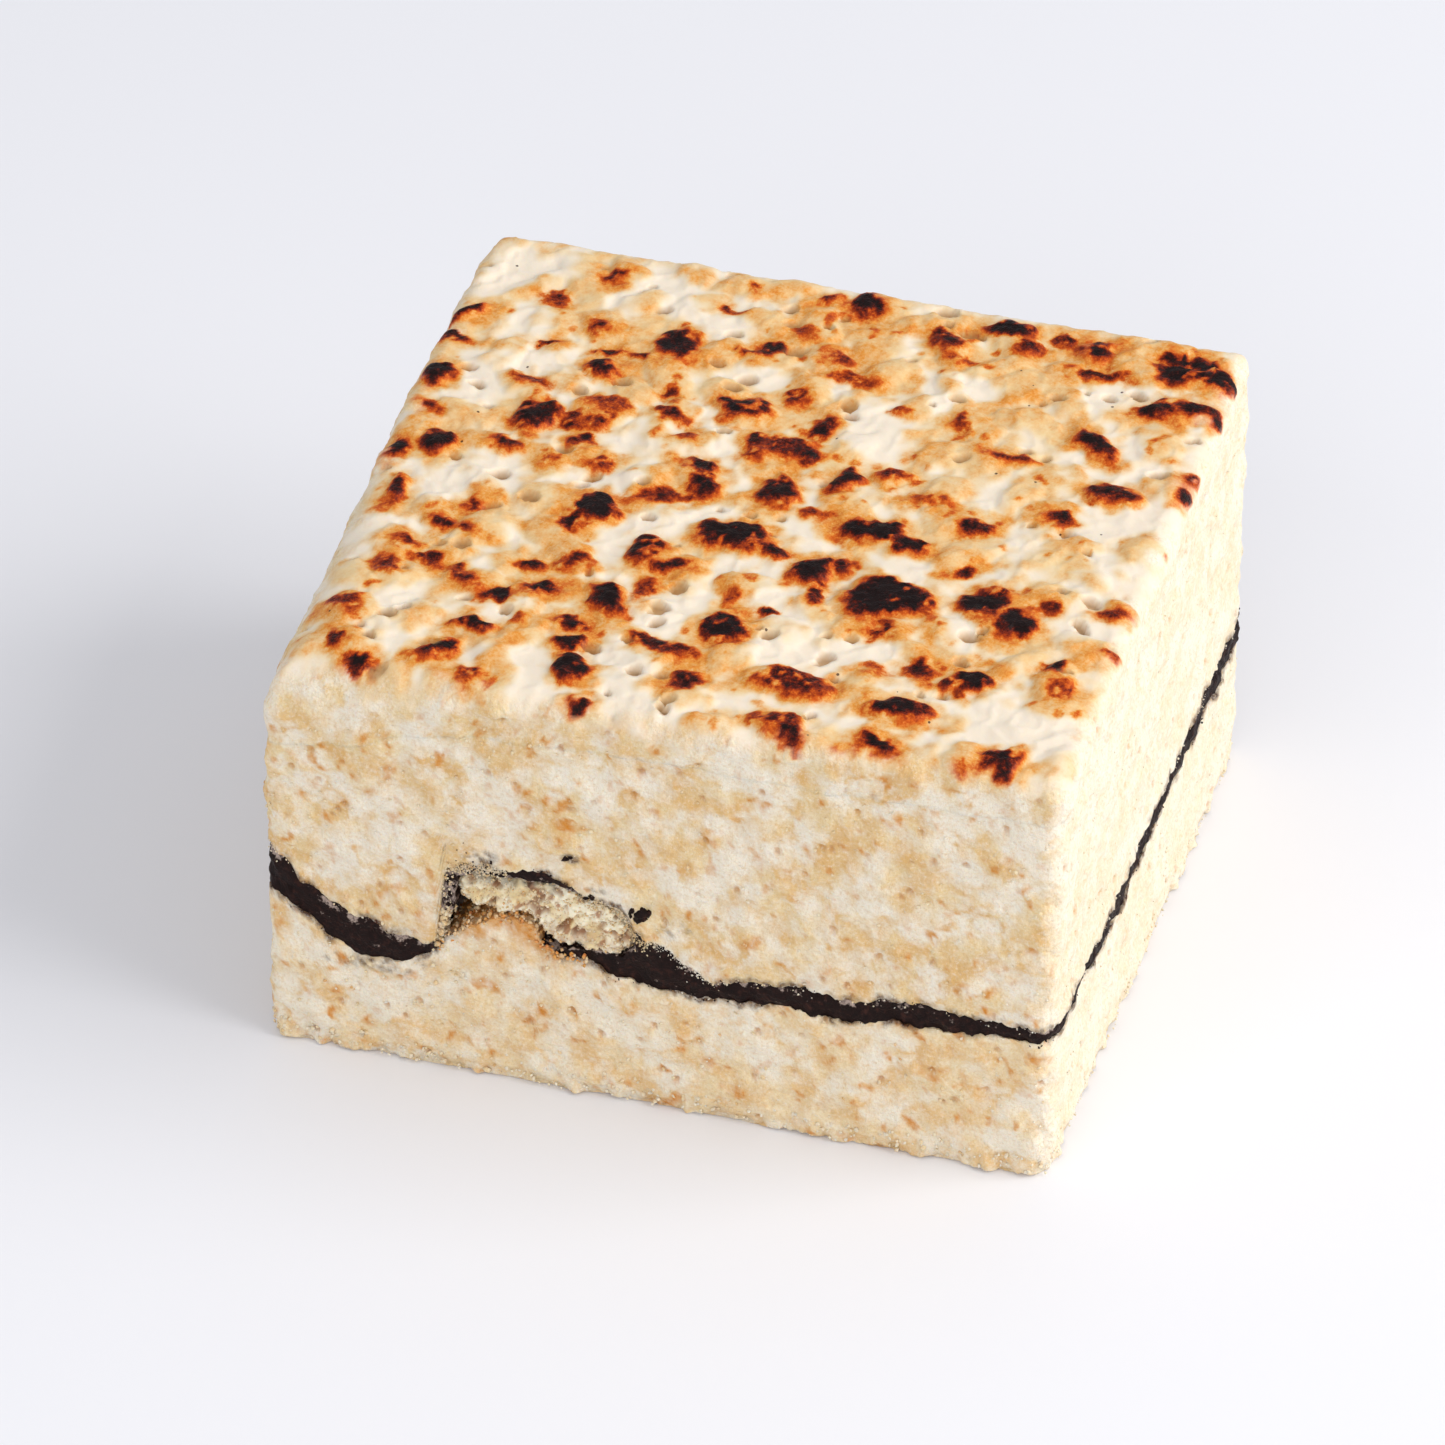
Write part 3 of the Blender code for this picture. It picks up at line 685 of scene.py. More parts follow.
def toasted_face():
    """The relief of the toasted face in millimetres, and where it is burnt, pitted or white, as grids."""
    raster = Raster()
    wander = (
        0.55 * raster.noise(2.0, 21) + 0.35 * raster.noise(0.9, 31),
        0.55 * raster.noise(2.0, 22) + 0.35 * raster.noise(0.9, 32),
    )
    fray = (
        1.1 * wander[0] + 0.34 * raster.noise(0.55, 23),
        1.1 * wander[1] + 0.34 * raster.noise(0.55, 24),
    )
    fine = raster.noise(0.42, 25)
    coarse = raster.noise(1.1, 26)
    slow = raster.noise(3.4, 33)

    relief = raised_grains(raster, wander)
    relief += 0.12 * coarse + 0.10 * raster.noise(1.9, 29)
    burn, glow, lift = scorched(raster, fray)
    relief = np.maximum(relief, 0.85 * relief + 0.08 * (lift > 0) + lift)
    relief = FLAT_TOPS * (1.0 - np.exp(-relief / FLAT_TOPS))
    gap = between(0.4, 0.65, raster.noise(0.75, 37) + 0.35 * fine)
    burn *= 1.0 - 0.6 * gap

    tanned = 0.75 * relief + 0.42 * slow + 0.16 * coarse + 0.55 * glow
    tanned += 0.12 * smooth((raster.y + 5.0) / 30.0)
    tanned += 0.05 * (top_edge_radius(raster.x, raster.y) - TOP_EDGE_RADIUS)
    first, last = np.quantile(tanned, (0.06, 0.6))
    rice = smooth((tanned - first) / (last - first))
    toast = rice * (0.13 + 0.07 * raster.noise(2.4, 34) + 0.05 * coarse + 0.02 * fine) + 0.10 * glow**2
    burn = np.maximum(burn, toast) + 0.3 * np.minimum(burn, toast)
    streak = between(0.5, 0.85, raster.noise(0.9, 35) + 0.45 * raster.noise(4.0, 36))
    burn = np.clip(np.maximum(burn, 0.34 * streak * rice), 0.0, 1.0)

    charred = between(0.5, 0.8, burn)
    relief += charred * (0.10 * coarse + 0.12 * fine + 0.06 * raster.noise(0.24, 27))
    relief += (1.0 - charred) * rice * (0.03 * fine + 0.02 * raster.noise(0.24, 27))
    fold = (1.0 - 2.0 * np.abs(raster.noise(1.7, 38) + 0.3 * raster.noise(0.8, 39))).clip(0.0)
    relief += 0.14 * fold**2 * (1.0 - charred)
    relief += GROUND_WAVE * raster.noise(3.6, 28)
    pit = open_bubbles(raster, burn, wander)
    relief -= 0.8 * pit * (1.0 - charred)
    return raster, relief, burn, pit, 1.0 - rice


def cut_look(points):
    """What the knife bared at each point of a cut side: crisped rice from 0 to 1, its tint, its amber spots
    and how deep its pores are. Along the right face it all fades: painted light, paling the face that the
    strong light from the right washes out."""
    fray = np.stack([ripple(points, 0.6, seed) for seed in (41, 42, 43)], axis=1)
    frayed = points + 0.28 * fray
    cloud = ripple(frayed, 2.5, 44) + 0.6 * ripple(frayed, 1.25, 45) + 0.3 * ripple(frayed, 0.6, 46)
    rice = between(-0.75, 0.75, cloud)
    tint = between(-0.8, 1.0, ripple(frayed, 1.6, 47) + 0.6 * ripple(frayed, 0.7, 48))
    _, middle, kind = grains_near(frayed * np.array((0.9, 0.9, 1.15)), 2.7, 49)
    ring = np.exp(-(((middle - 0.75 - 0.9 * kind) / 0.24) ** 2)) * between(0.55, 0.6, kind)
    rice = np.clip(rice + 0.7 * ring, 0.0, 1.0)
    spot = ripple(frayed, 0.9, 52) + 0.45 * ripple(frayed, 0.45, 53)
    amber = between(0.5, 0.85, spot) * (0.4 + 0.6 * rice) + 0.5 * ring * between(0.0, 0.6, spot)
    amber = np.clip(amber, 0.0, 1.0)
    # Painted light: the right face is paled, its rice, tint and amber faded, as if washed out by the strong
    # light from the right.
    smear_and_painted_light = between(0.5, 2.0, points[:, 0] - WIDTH / 2 + 2.0)
    rice, tint = rice * (1.0 - 0.6 * smear_and_painted_light), tint * (1.0 - 0.6 * smear_and_painted_light)
    amber = amber * (1.0 - 0.8 * smear_and_painted_light)
    _, pore_middle, pore_size = grains_near(points, 1.6, 54)
    pore = (1.0 - between(0.14, 0.4, pore_middle)) * (pore_size > 0.6)
    return rice, tint, amber, pore


def cut_relief(points, rice, pore):
    """How far the cut side stands out, in millimetres: even in the marshmallow, and crumbly in the rice."""
    even = 0.12 * ripple(points, 1.7, 57) + 0.06 * ripple(points, 0.8, 58)
    crumbly = 0.10 * ripple(points, 0.75, 59) + 0.10 * ripple(points, 0.4, 60)
    return even + (0.35 + 0.65 * rice) * crumbly - 0.35 * pore


def deselect():
    for obj in bpy.context.selected_objects:
        obj.select_set(False)


def made_active(name):
    obj = bpy.context.object
    obj.name = name
    obj.data.name = name
    return obj


def edit_mode():
    bpy.ops.object.mode_set(mode="EDIT")


def object_mode():
    bpy.ops.object.mode_set(mode="OBJECT")


def vertex_places(obj):
    places = np.zeros(len(obj.data.vertices) * 3)
    obj.data.vertices.foreach_get("co", places)
    return places.reshape(-1, 3)


def give_places(obj, places):
    """Moves every vertex to its place in millimetres on the finished square, centred on its box."""
    moved = (places + np.array((CENTRING[0], CENTRING[1], 0.0))) * MM
    obj.data.vertices.foreach_set("co", moved.ravel())
    obj.data.update()


def give_colours(obj, name, *channels):
    """Stores up to three masks from 0 to 1 on the points of a piece, as one colour. The others are 0."""
    blank = np.zeros(len(obj.data.vertices))
    filled = [np.clip(blank + channel, 0.0, 1.0) for channel in channels]
    filled += [blank] * (3 - len(filled)) + [blank + 1.0]
    layer = obj.data.attributes.new(name, "FLOAT_COLOR", "POINT")
    layer.data.foreach_set("color", np.stack(filled, axis=1).astype(np.float32).ravel())


def outline_place(index):
    """Where step index of the walk round the true rectangle lies, starting at its front-left corner."""
    step_x, step_y = WIDTH / CELLS_X, DEPTH / CELLS_Y
    index = np.mod(index, AROUND)
    x = np.empty(len(index))
    y = np.empty(len(index))
    front = index < CELLS_X
    right = (index >= CELLS_X) & (index < CELLS_X + CELLS_Y)
    back = (index >= CELLS_X + CELLS_Y) & (index < 2 * CELLS_X + CELLS_Y)
    left = index >= 2 * CELLS_X + CELLS_Y
    x[front], y[front] = -WIDTH / 2 + index[front] * step_x, -DEPTH / 2
    x[right], y[right] = WIDTH / 2, -DEPTH / 2 + (index[right] - CELLS_X) * step_y
    x[back], y[back] = WIDTH / 2 - (index[back] - CELLS_X - CELLS_Y) * step_x, DEPTH / 2
    x[left], y[left] = -WIDTH / 2, DEPTH / 2 - (index[left] - 2 * CELLS_X - CELLS_Y) * step_y
    return x, y


def ring_solid(name, rings, upper_steps=INWARD):
    """A closed upright body: a cylinder whose wall is cut into rings and whose ends run inwards in steps.
    Gives the object and, for each vertex, its step round the outline, its share of the height and how far in
    it lies."""
    deselect()
    bpy.ops.mesh.primitive_cylinder_add(vertices=AROUND, radius=1.0, depth=2.0, end_fill_type="NGON")
    obj = made_active(name)
    edit_mode()
    bpy.ops.mesh.select_mode(type="EDGE")
    bpy.ops.mesh.select_all(action="DESELECT")
    object_mode()
    for edge in obj.data.edges:
        a, b = (obj.data.vertices[i].co.z for i in edge.vertices)
        edge.select = abs(a - b) > 1.0
    edit_mode()
    bpy.ops.mesh.subdivide(number_cuts=rings - 1)
    bpy.ops.mesh.select_mode(type="FACE")
    for height, steps in ((-1.0, INWARD), (1.0, upper_steps)):
        bpy.ops.mesh.select_all(action="DESELECT")
        object_mode()
        for face in obj.data.polygons:
            face.select = len(face.vertices) == AROUND and abs(face.center.z - height) < 0.01
        edit_mode()
        size = 1.0
        for distance in steps:
            wanted = 1.0 - distance / RAW_RADIUS
            bpy.ops.mesh.extrude_region_move()
            bpy.ops.transform.resize(value=(wanted / size, wanted / size, 1.0))
            size = wanted
    object_mode()
    places = vertex_places(obj)
    radius = np.hypot(places[:, 0], places[:, 1])
    angle = np.arctan2(places[:, 1], places[:, 0])
    index = np.rint(angle / (2.0 * math.pi) * AROUND).astype(int)
    share = np.clip((places[:, 2] + 1.0) / 2.0, 0.0, 1.0)
    inward = np.clip((1.0 - radius) * RAW_RADIUS, 0.0, None)
    inward[inward < 0.01] = 0.0
    return obj, index, share, inward


def inset_place(index, inward):
    """The outline's place, moved in from the side towards the middle of the square."""
    x, y = outline_place(index)
    return x * (1.0 - inward / (WIDTH / 2)), y * (1.0 - inward / (DEPTH / 2))


def cut_side(x, y, z, at_side):
    """Places and outward directions on the cut sides, with the play of the knife where at_side is 1."""
    places, outward = on_plan(x, y, z)
    knife = part_noise(x, y, z, CUT_GRAIN, 5.0) + 0.6 * part_noise(x, y, z, CUT_GRAIN / 2, 17.0)
    return places + outward * (CUT_ROUGHNESS * knife * at_side)[:, None], outward


def crust_side_height(x, y):
    """Height at which the toasted face, rounded off at the edge, meets the cut side."""
    return top_level(x, y) - top_edge_radius(x, y)


def seam_height(x, y):
    """Where the crust and the body of the upper slab meet on the cut side."""
    return crust_side_height(x, y) - CRUST_SIDE + 0.3 * ripple(points_at(x, y), 3.0, 61)


def bared_share(places, below):
    """How much the knife bared, 0 where the melted coat still covers the slab: below is the distance down
    from the top edge in millimetres, less than 0 on the toasted face."""
    runs = ripple(places, 1.5, 66) + 0.6 * ripple(places, 0.7, 67)
    return between(-1.6, 1.6, below + 1.3 * runs)


def upper_crust(face):
    """The toasted face with the upper millimetres of the cut sides: a fine sheet of cells whose rim runs down
    to the body of the slab and is closed underneath."""
    raster, relief, burn, pit, coat = face
    deselect()
    bpy.ops.mesh.primitive_grid_add(x_subdivisions=CELLS_X, y_subdivisions=CELLS_Y, size=2.0)
    obj = made_active("torched_crust")
    edit_mode()
    bpy.ops.mesh.select_mode(type="EDGE")
    bpy.ops.mesh.select_all(action="SELECT")
    bpy.ops.mesh.region_to_loop()
    for _ in range(CRUST_RINGS + 1):
        bpy.ops.mesh.extrude_region_move(TRANSFORM_OT_translate={"value": (0.0, 0.0, -1.0)})
    bpy.ops.mesh.edge_face_add()
    bpy.ops.mesh.select_all(action="SELECT")
    bpy.ops.mesh.normals_make_consistent(inside=False)
    object_mode()

    start = vertex_places(obj)
    ring = np.rint(-start[:, 2])
    inner = ring > CRUST_RINGS
    ring = np.minimum(ring, CRUST_RINGS)
    x = np.clip(start[:, 0], -1.0, 1.0) * WIDTH / 2
    y = np.clip(start[:, 1], -1.0, 1.0) * DEPTH / 2
    radius = top_edge_radius(x, y)
    from_x, from_y = WIDTH / 2 - np.abs(x), DEPTH / 2 - np.abs(y)
    in_x = np.where(from_x < radius, radius * (1.0 - np.cos(from_x / radius * math.pi / 2)), from_x)
    in_y = np.where(from_y < radius, radius * (1.0 - np.cos(from_y / radius * math.pi / 2)), from_y)
    round_x, round_y = np.sign(x) * (WIDTH / 2 - in_x), np.sign(y) * (DEPTH / 2 - in_y)
    from_edge = np.minimum(from_x, from_y)
    drop = np.where(from_edge < radius, radius * (1.0 - np.sin(from_edge / radius * math.pi / 2)), 0.0)
    level = top_level(round_x, round_y) - drop

    flat = smooth(0.6 + np.minimum(in_x, in_y) / 2.0)
    ground = GROUND_WAVE * part_noise(round_x, round_y, np.zeros_like(x), 4.0, 3.0)
    raised = (raster.read(relief, round_x, round_y) + ground) * flat
    side_top = crust_side_height(x, y)
    z = np.where(ring > 0, side_top + (seam_height(x, y) - side_top) * ring / CRUST_RINGS, level)
    at_side = 1.0 - smooth(from_edge / 1.6)
    even = ring / CRUST_RINGS
    places, outward = cut_side(round_x + (x - round_x) * even, round_y + (y - round_y) * even, z, at_side)
    upright = np.where(ring > 0, 1.0, np.cos(np.clip(from_edge / radius, 0.0, 1.0) * math.pi / 2))
    lean = outward * upright[:, None] + np.array((0.0, 0.0, 1.0)) * (1.0 - upright)[:, None]
    lean /= np.linalg.norm(lean, axis=1)[:, None]

    rice, tint, amber, pore = cut_look(places)
    over_edge = COAT_RUN * radius - QUARTER_ARC * np.minimum(from_edge, radius)
    below = np.where(ring > 0, COAT_RUN * radius + side_top - z, over_edge)
    below = np.where(from_edge > radius, below - from_edge + radius, below)
    bared = bared_share(places, below)
    rough = cut_relief(places, rice, pore) * np.where(ring > 0, 1.0, smooth((upright - 0.25) / 0.6))
    places = places + lean * (rough + raised * (1.0 - upright * 0.75) * (ring == 0))[:, None]
    places[inner, :2] *= CAP_SHRINK
    give_places(obj, places)
    give_colours(obj, "cut", rice, tint, amber)
    burnt = raster.read(burn, round_x, round_y)
    fading = 1.0 - between(0.0, 1.2, below + 0.6 * ripple(places, 0.8, 70) - 0.4 * (radius - TOP_EDGE_RADIUS))
    bared = bared * (1.0 - between(0.22, 0.4, burnt) * fading)
    white = 1.0 - (1.0 - raster.read(coat, round_x, round_y)) * fading
    give_colours(obj, "torch", white, burnt * fading, raster.read(pit, round_x, round_y) * fading)
    give_colours(obj, "bare", bared, pore)
    return obj


def upper_body():
    """The cut sides of the upper slab, from the crust down to the chocolate."""
    obj, index, share, inward = ring_solid("upper_slab_body", BODY_RINGS, BODY_TOP)
    x, y = inset_place(index, inward)
    edge_x, edge_y = outline_place(index)
    low = ragged_level(x, y, 2)
    high = seam_height(edge_x, edge_y)
    rest = INNER_CHOCOLATE[1]
    z = rest + (high - rest) * share + (low - rest) * (1.0 - share) ** 2
    places, outward = cut_side(x, y, z, (inward == 0.0).astype(float))
    rice, tint, amber, pore = cut_look(places)
    rough = cut_relief(places, rice, pore) * (inward < 1.0)
    places = places + outward * rough[:, None]
    give_places(obj, places)
    give_colours(obj, "cut", rice, tint, amber)
    give_colours(obj, "torch", 1.0)
    below = COAT_RUN * top_edge_radius(edge_x, edge_y) + crust_side_height(edge_x, edge_y) - z
    smudge_and_shade = np.maximum(smear(places, z - low, 71), smeared_patches(places))
    give_colours(obj, "bare", bared_share(places, below), pore, smudge_and_shade)
    return obj


def smear(places, height, seed):
    """Chocolate that the knife dragged onto the slab next to it, fading with the distance from the seam."""
    patch = ripple(places, 2.2, seed) + 0.6 * ripple(places, 0.7, seed + 1)
    away = height + 0.25 * ripple(places, 0.4, seed + 2)
    return (1.0 - between(0.05, 0.75, away)) * between(-0.5, 0.4, patch)


def smeared_patches(places):
    """The larger smears of chocolate on the front cut, granular."""
    total = np.zeros(len(places))
    fray = 0.4 * ripple(places, 0.7, 85)
    for x, z, half_width, half_height, strength in SMEARS:
        out = np.hypot((places[:, 0] - x) / half_width, (places[:, 2] - z) / half_height)
        total = np.maximum(total, strength * (1.0 - between(0.35, 1.0, out + fray)))
    grain = ripple(places, 0.45, 86) + 0.5 * ripple(places, 1.1, 87)
    return total * between(-0.5, 0.5, grain) * (places[:, 1] < 1.0 - DEPTH / 2)


def lower_slab():
    """The lower slab, from the table up to the chocolate, with a ragged lower rim."""
    obj, index, share, inward = ring_solid("lower_slab", BASE_RINGS)
    x, y = inset_place(index, inward)
    top = ragged_level(x, y, 1)
    z = top * share
    places, outward = cut_side(x, y, z, (inward == 0.0).astype(float))
    rice, tint, amber, pore = cut_look(places + np.array((0.0, 0.0, 60.0)))
    flat = points_at(x, y)
    worn = smooth(1.0 - z / 1.6) * (inward == 0.0)
    pull = worn * (0.35 + 0.55 * ripple(flat, 1.3, 63) + 0.3 * ripple(flat, 0.5, 64))
    rough = cut_relief(places, rice, pore) * (inward < 1.0) - pull
    places = places + outward * rough[:, None]
    lift = np.where(share < 0.01, np.clip(0.5 - inward, 0.0, 1.0) * (0.5 + 0.5 * ripple(flat, 1.0, 65)), 0.0)
    places[:, 2] += lift
    give_places(obj, places)
    # Painted shade and glow: the inner top, seen only through the break, is made full amber rice, for the
    # shaded cavity with light glowing through it.
    painted_cavity_shade = smooth(inward / 1.2)
    beside_break = between(-16.5, -14.5, x) * (1.0 - between(-8.6, -7.6, x)) * (y < 0.5 - DEPTH / 2)
    lip = beside_break * (1.0 - between(0.6, 3.0, top - z)) * between(-0.6, 0.3, ripple(places, 0.8, 77))
    rice = np.maximum(rice, np.maximum(lip, painted_cavity_shade))
    give_colours(obj, "cut", rice, np.maximum(tint, lip), np.maximum(amber + 0.8 * lip, painted_cavity_shade))
    give_colours(obj, "torch", 1.0)
    dragged = smear(places, top - z, 74) * (1.0 - beside_break)
    # On the inner top, 0.2 of the dark brown is painted shade for the cavity.
    smudge_and_shade = np.maximum(dragged, smeared_patches(places)) * (1.0 - painted_cavity_shade) + 0.2 * painted_cavity_shade
    give_colours(obj, "bare", 1.0, pore, smudge_and_shade)
    return obj


def chocolate_sheet():
    """The chocolate: its broken edge stands in the four cut sides, and is dusty along its top in front."""
    obj, index, share, inward = ring_solid("chocolate_sheet", CHOCOLATE_RINGS)
    x, y = inset_place(index, inward)
    low, high = ragged_level(x, y, 1), ragged_level(x, y, 2)
    z = low + (high - low) * share
    places, outward = cut_side(x, y, z, (inward == 0.0).astype(float))
    bulge = 0.10 * np.sin(share * math.pi) - 0.12
    crumbly = 0.14 * ripple(places, 0.8, 81) + 0.10 * ripple(places, 0.35, 82)
    places = places + outward * ((bulge + crumbly) * (inward == 0.0))[:, None]
    give_places(obj, places)
    at_front = y < 1.0 - DEPTH / 2
    dust = between(0.5, 1.0, share) * between(-0.6, 0.4, ripple(places, 1.6, 83))
    over_clump = (1.0 - between(-14.4, -13.0, x)) * between(15.0, 16.5, z) * (x > -20.0)
    give_colours(obj, "dust", np.maximum(dust, over_clump) * at_front)
    cut_out_break(obj)
    return obj


def ragged_outline(outline, step, play):
    """Points every step millimetres along an outline of the front face, each off its place by up to play."""
    corners = np.array(outline)
    after = np.roll(corners, -1, axis=0)
    points = []
    for start, end in zip(corners, after):
        count = max(1, round(float(np.linalg.norm(end - start)) / step))
        points.extend(start + (end - start) * i / count for i in range(count))
    points = np.array(points)
    flat = points_at(points[:, 0], points[:, 1])
    return points + play * np.stack((ripple(flat, 0.7, 91), ripple(flat, 0.7, 92)), axis=1)


def pushed_outline(name, outline, start, depth, taper):
    """A closed body: the outline of the front face pushed backwards from start, tapered about its middle."""
    deselect()
    bpy.ops.mesh.primitive_circle_add(vertices=len(outline), radius=1.0, fill_type="NGON")
    obj = made_active(name)
    edit_mode()
    bpy.ops.mesh.select_all(action="SELECT")
    for _ in taper[1:]:
        bpy.ops.mesh.extrude_region_move(TRANSFORM_OT_translate={"value": (0.0, 0.0, 1.0)})
    object_mode()
    made = vertex_places(obj)
    turned = np.arctan2(made[:, 0], made[:, 1]) / (2.0 * math.pi)
    index = np.rint(turned * len(outline)).astype(int) % len(outline)
    ring = np.rint(made[:, 2]).astype(int)
    steps = np.array(taper)
    middle = outline.mean(axis=0)
    flat = middle + (outline[index] - middle) * steps[ring, 1][:, None]
    places = points_at(flat[:, 0], start + depth * steps[ring, 0], flat[:, 1])
    obj.data.vertices.foreach_set("co", places.ravel())
    obj.data.update()
    edit_mode()
    bpy.ops.mesh.select_all(action="SELECT")
    bpy.ops.mesh.normals_make_consistent(inside=False)
    object_mode()
    return obj


def apply_modifier(obj, kind, **settings):
    deselect()
    obj.select_set(True)
    bpy.context.view_layer.objects.active = obj
    modifier = obj.modifiers.new(kind.lower(), kind)
    for name, value in settings.items():
        setattr(modifier, name, value)
    bpy.ops.object.modifier_apply(modifier=modifier.name)


def cut_out_break(sheet):
    """Breaks the chocolate open round the clump."""
    outline = ragged_outline(BREAK_OUTLINE, 0.5, 0.3)
    cutter = pushed_outline("break", outline, -DEPTH / 2 - 3.0, BREAK_DEPTH + 3.0, BREAK_TAPER)
    give_places(cutter, vertex_places(cutter))
    apply_modifier(sheet, "BOOLEAN", operation="DIFFERENCE", solver="EXACT", object=cutter)
    bpy.data.objects.remove(cutter)


def vertex_outward(obj):
    """Unit normals of the vertices."""
    outward = np.zeros(len(obj.data.vertices) * 3)
    obj.data.vertex_normals.foreach_get("vector", outward)
    return outward.reshape(-1, 3)


def crumbly_clump():
    """The clump that the broken chocolate wraps: crumbs stuck together, dry and full of small holes."""
    outline = ragged_outline(CLUMP_OUTLINE, 0.6, 0.25)
    obj = pushed_outline("filling_crumb", outline, -DEPTH / 2 + CLUMP_INSET, CLUMP_DEPTH, CLUMP_TAPER)
    apply_modifier(obj, "REMESH", mode="VOXEL", voxel_size=CLUMP_CELL)
    places = vertex_places(obj)
    lumps, _, _ = grains_near(places, 1.1, 93)
    crumbs, _, _ = grains_near(places, 0.45, 96)
    hole = between(0.2, 0.5, ripple(places, 0.7, 99))
    rough = 0.6 * np.minimum(lumps, 0.5) + 0.9 * np.minimum(crumbs, 0.2) - 0.55 * hole - 0.08
    rough += 0.1 * ripple(places, 0.3, 100)
    tint = between(-0.5, 0.7, ripple(places, 1.3, 101) + 0.5 * ripple(places, 0.5, 102))
    # Brown flecks at random, painted shade in the same brown in the small holes, and a darker band along the
    # lower edge.
    dark = between(0.45, 0.8, ripple(places, 0.6, 103) + 0.3 * ripple(places, 1.6, 104)) + hole * 0.9
    dark += 0.5 * (1.0 - between(15.8, 17.4, places[:, 2])) * between(-0.4, 0.3, ripple(places, 0.5, 106))
    cocoa = (1.0 - between(0.0, 0.9, 20.0 - places[:, 2])) * between(-0.2, 0.4, ripple(places, 0.8, 105))
    give_places(obj, places + vertex_outward(obj) * rough[:, None])
    give_colours(obj, "crumb", tint, dark, cocoa)
    return obj


def scattered(name, places, sizes, seed, squash=0.7):
    """Many small rough grains as one piece, from their places and sizes in millimetres. Gives the piece, and
    which grain each vertex is of."""
    count = len(places)
    apart = 10.0
    deselect()
    bpy.ops.mesh.primitive_ico_sphere_add(subdivisions=1, radius=1.0)
    obj = made_active(name)
    single = len(obj.data.vertices)
    apply_modifier(
        obj, "ARRAY", count=count, use_relative_offset=False, use_constant_offset=True,
        constant_offset_displace=(apart, 0.0, 0.0),
    )
    made = vertex_places(obj)
    which = np.repeat(np.arange(count), single)
    local = made - np.array((apart, 0.0, 0.0)) * which[:, None]
    draw = np.random.default_rng(seed)
    turn = draw.normal(size=(count, 4))
    turn /= np.linalg.norm(turn, axis=1)[:, None]
    w, i, j, k = turn.T
    spin = np.stack(
        (
            1 - 2 * (j * j + k * k), 2 * (i * j - k * w), 2 * (i * k + j * w),
            2 * (i * j + k * w), 1 - 2 * (i * i + k * k), 2 * (j * k - i * w),
            2 * (i * k - j * w), 2 * (j * k + i * w), 1 - 2 * (i * i + j * j),
        ),
        axis=1,
    ).reshape(count, 3, 3)
    uneven = 1.0 + 0.3 * draw.normal(size=(len(local), 1)).clip(-1, 1)
    local = local * np.array((1.0, 0.8, squash)) * uneven
    local = np.einsum("nij,nj->ni", spin[which], local)
    give_places(obj, places[which] + local * sizes[which][:, None] / 2.0)
    return obj, which


def side_crumbs(draw):
    """Where crumbs that the knife pulled out of the rice lie on the cut sides, most of them low down."""
    x, y = outline_place(draw.uniform(0, AROUND, SIDE_CRUMBS).astype(int))
    low_rim = draw.uniform(size=SIDE_CRUMBS) < 0.3
    z = np.where(low_rim, draw.uniform(0.3, 2.2, SIDE_CRUMBS), draw.uniform(0.8, 35.0, SIDE_CRUMBS))
    near_chocolate = (z > ragged_level(x, y, 1) - 0.4) & (z < ragged_level(x, y, 2) + 0.4)
    z = np.minimum(np.where(near_chocolate, z * 0.5, z), crust_side_height(x, y) - 1.0)
    places, _ = cut_side(x, y, z, np.ones_like(x))
    sizes = draw.uniform(0.22, 0.5, SIDE_CRUMBS) * np.where(low_rim, 1.4, 1.0)
    return places, sizes * np.where(x > WIDTH / 2 - 0.1, 0.6, 1.0)


def edge_crumbs(draw):
    """Where pale crumbs stick to the edges of the chocolate: in patches, most of them on its upper edge."""
    x, y = outline_place(draw.uniform(0, AROUND, EDGE_CRUMBS).astype(int))
    beside_break = draw.uniform(size=EDGE_CRUMBS) < 0.35
    x = np.where(beside_break, draw.normal(0.5, 3.0, EDGE_CRUMBS), x)
    y = np.where(beside_break, -DEPTH / 2, y)
    upper = draw.uniform(size=EDGE_CRUMBS) < 0.93
    into = draw.exponential(0.28, EDGE_CRUMBS) - 0.12
    z = np.where(upper, ragged_level(x, y, 2) - into, ragged_level(x, y, 1) + 0.4 * into)
    places, _ = cut_side(x, y, z, np.ones_like(x))
    patchy = ripple(places, 2.4, 68) + 0.5 * ripple(places, 0.8, 69) + 0.5 * beside_break
    on_film = (x > -12.2) & (x < -5.6) & (y < 1.0 - DEPTH / 2)
    kept = ~on_film & (patchy > 0.15)
    return places[kept], 0.07 + 0.18 * draw.uniform(size=EDGE_CRUMBS)[kept] ** 2


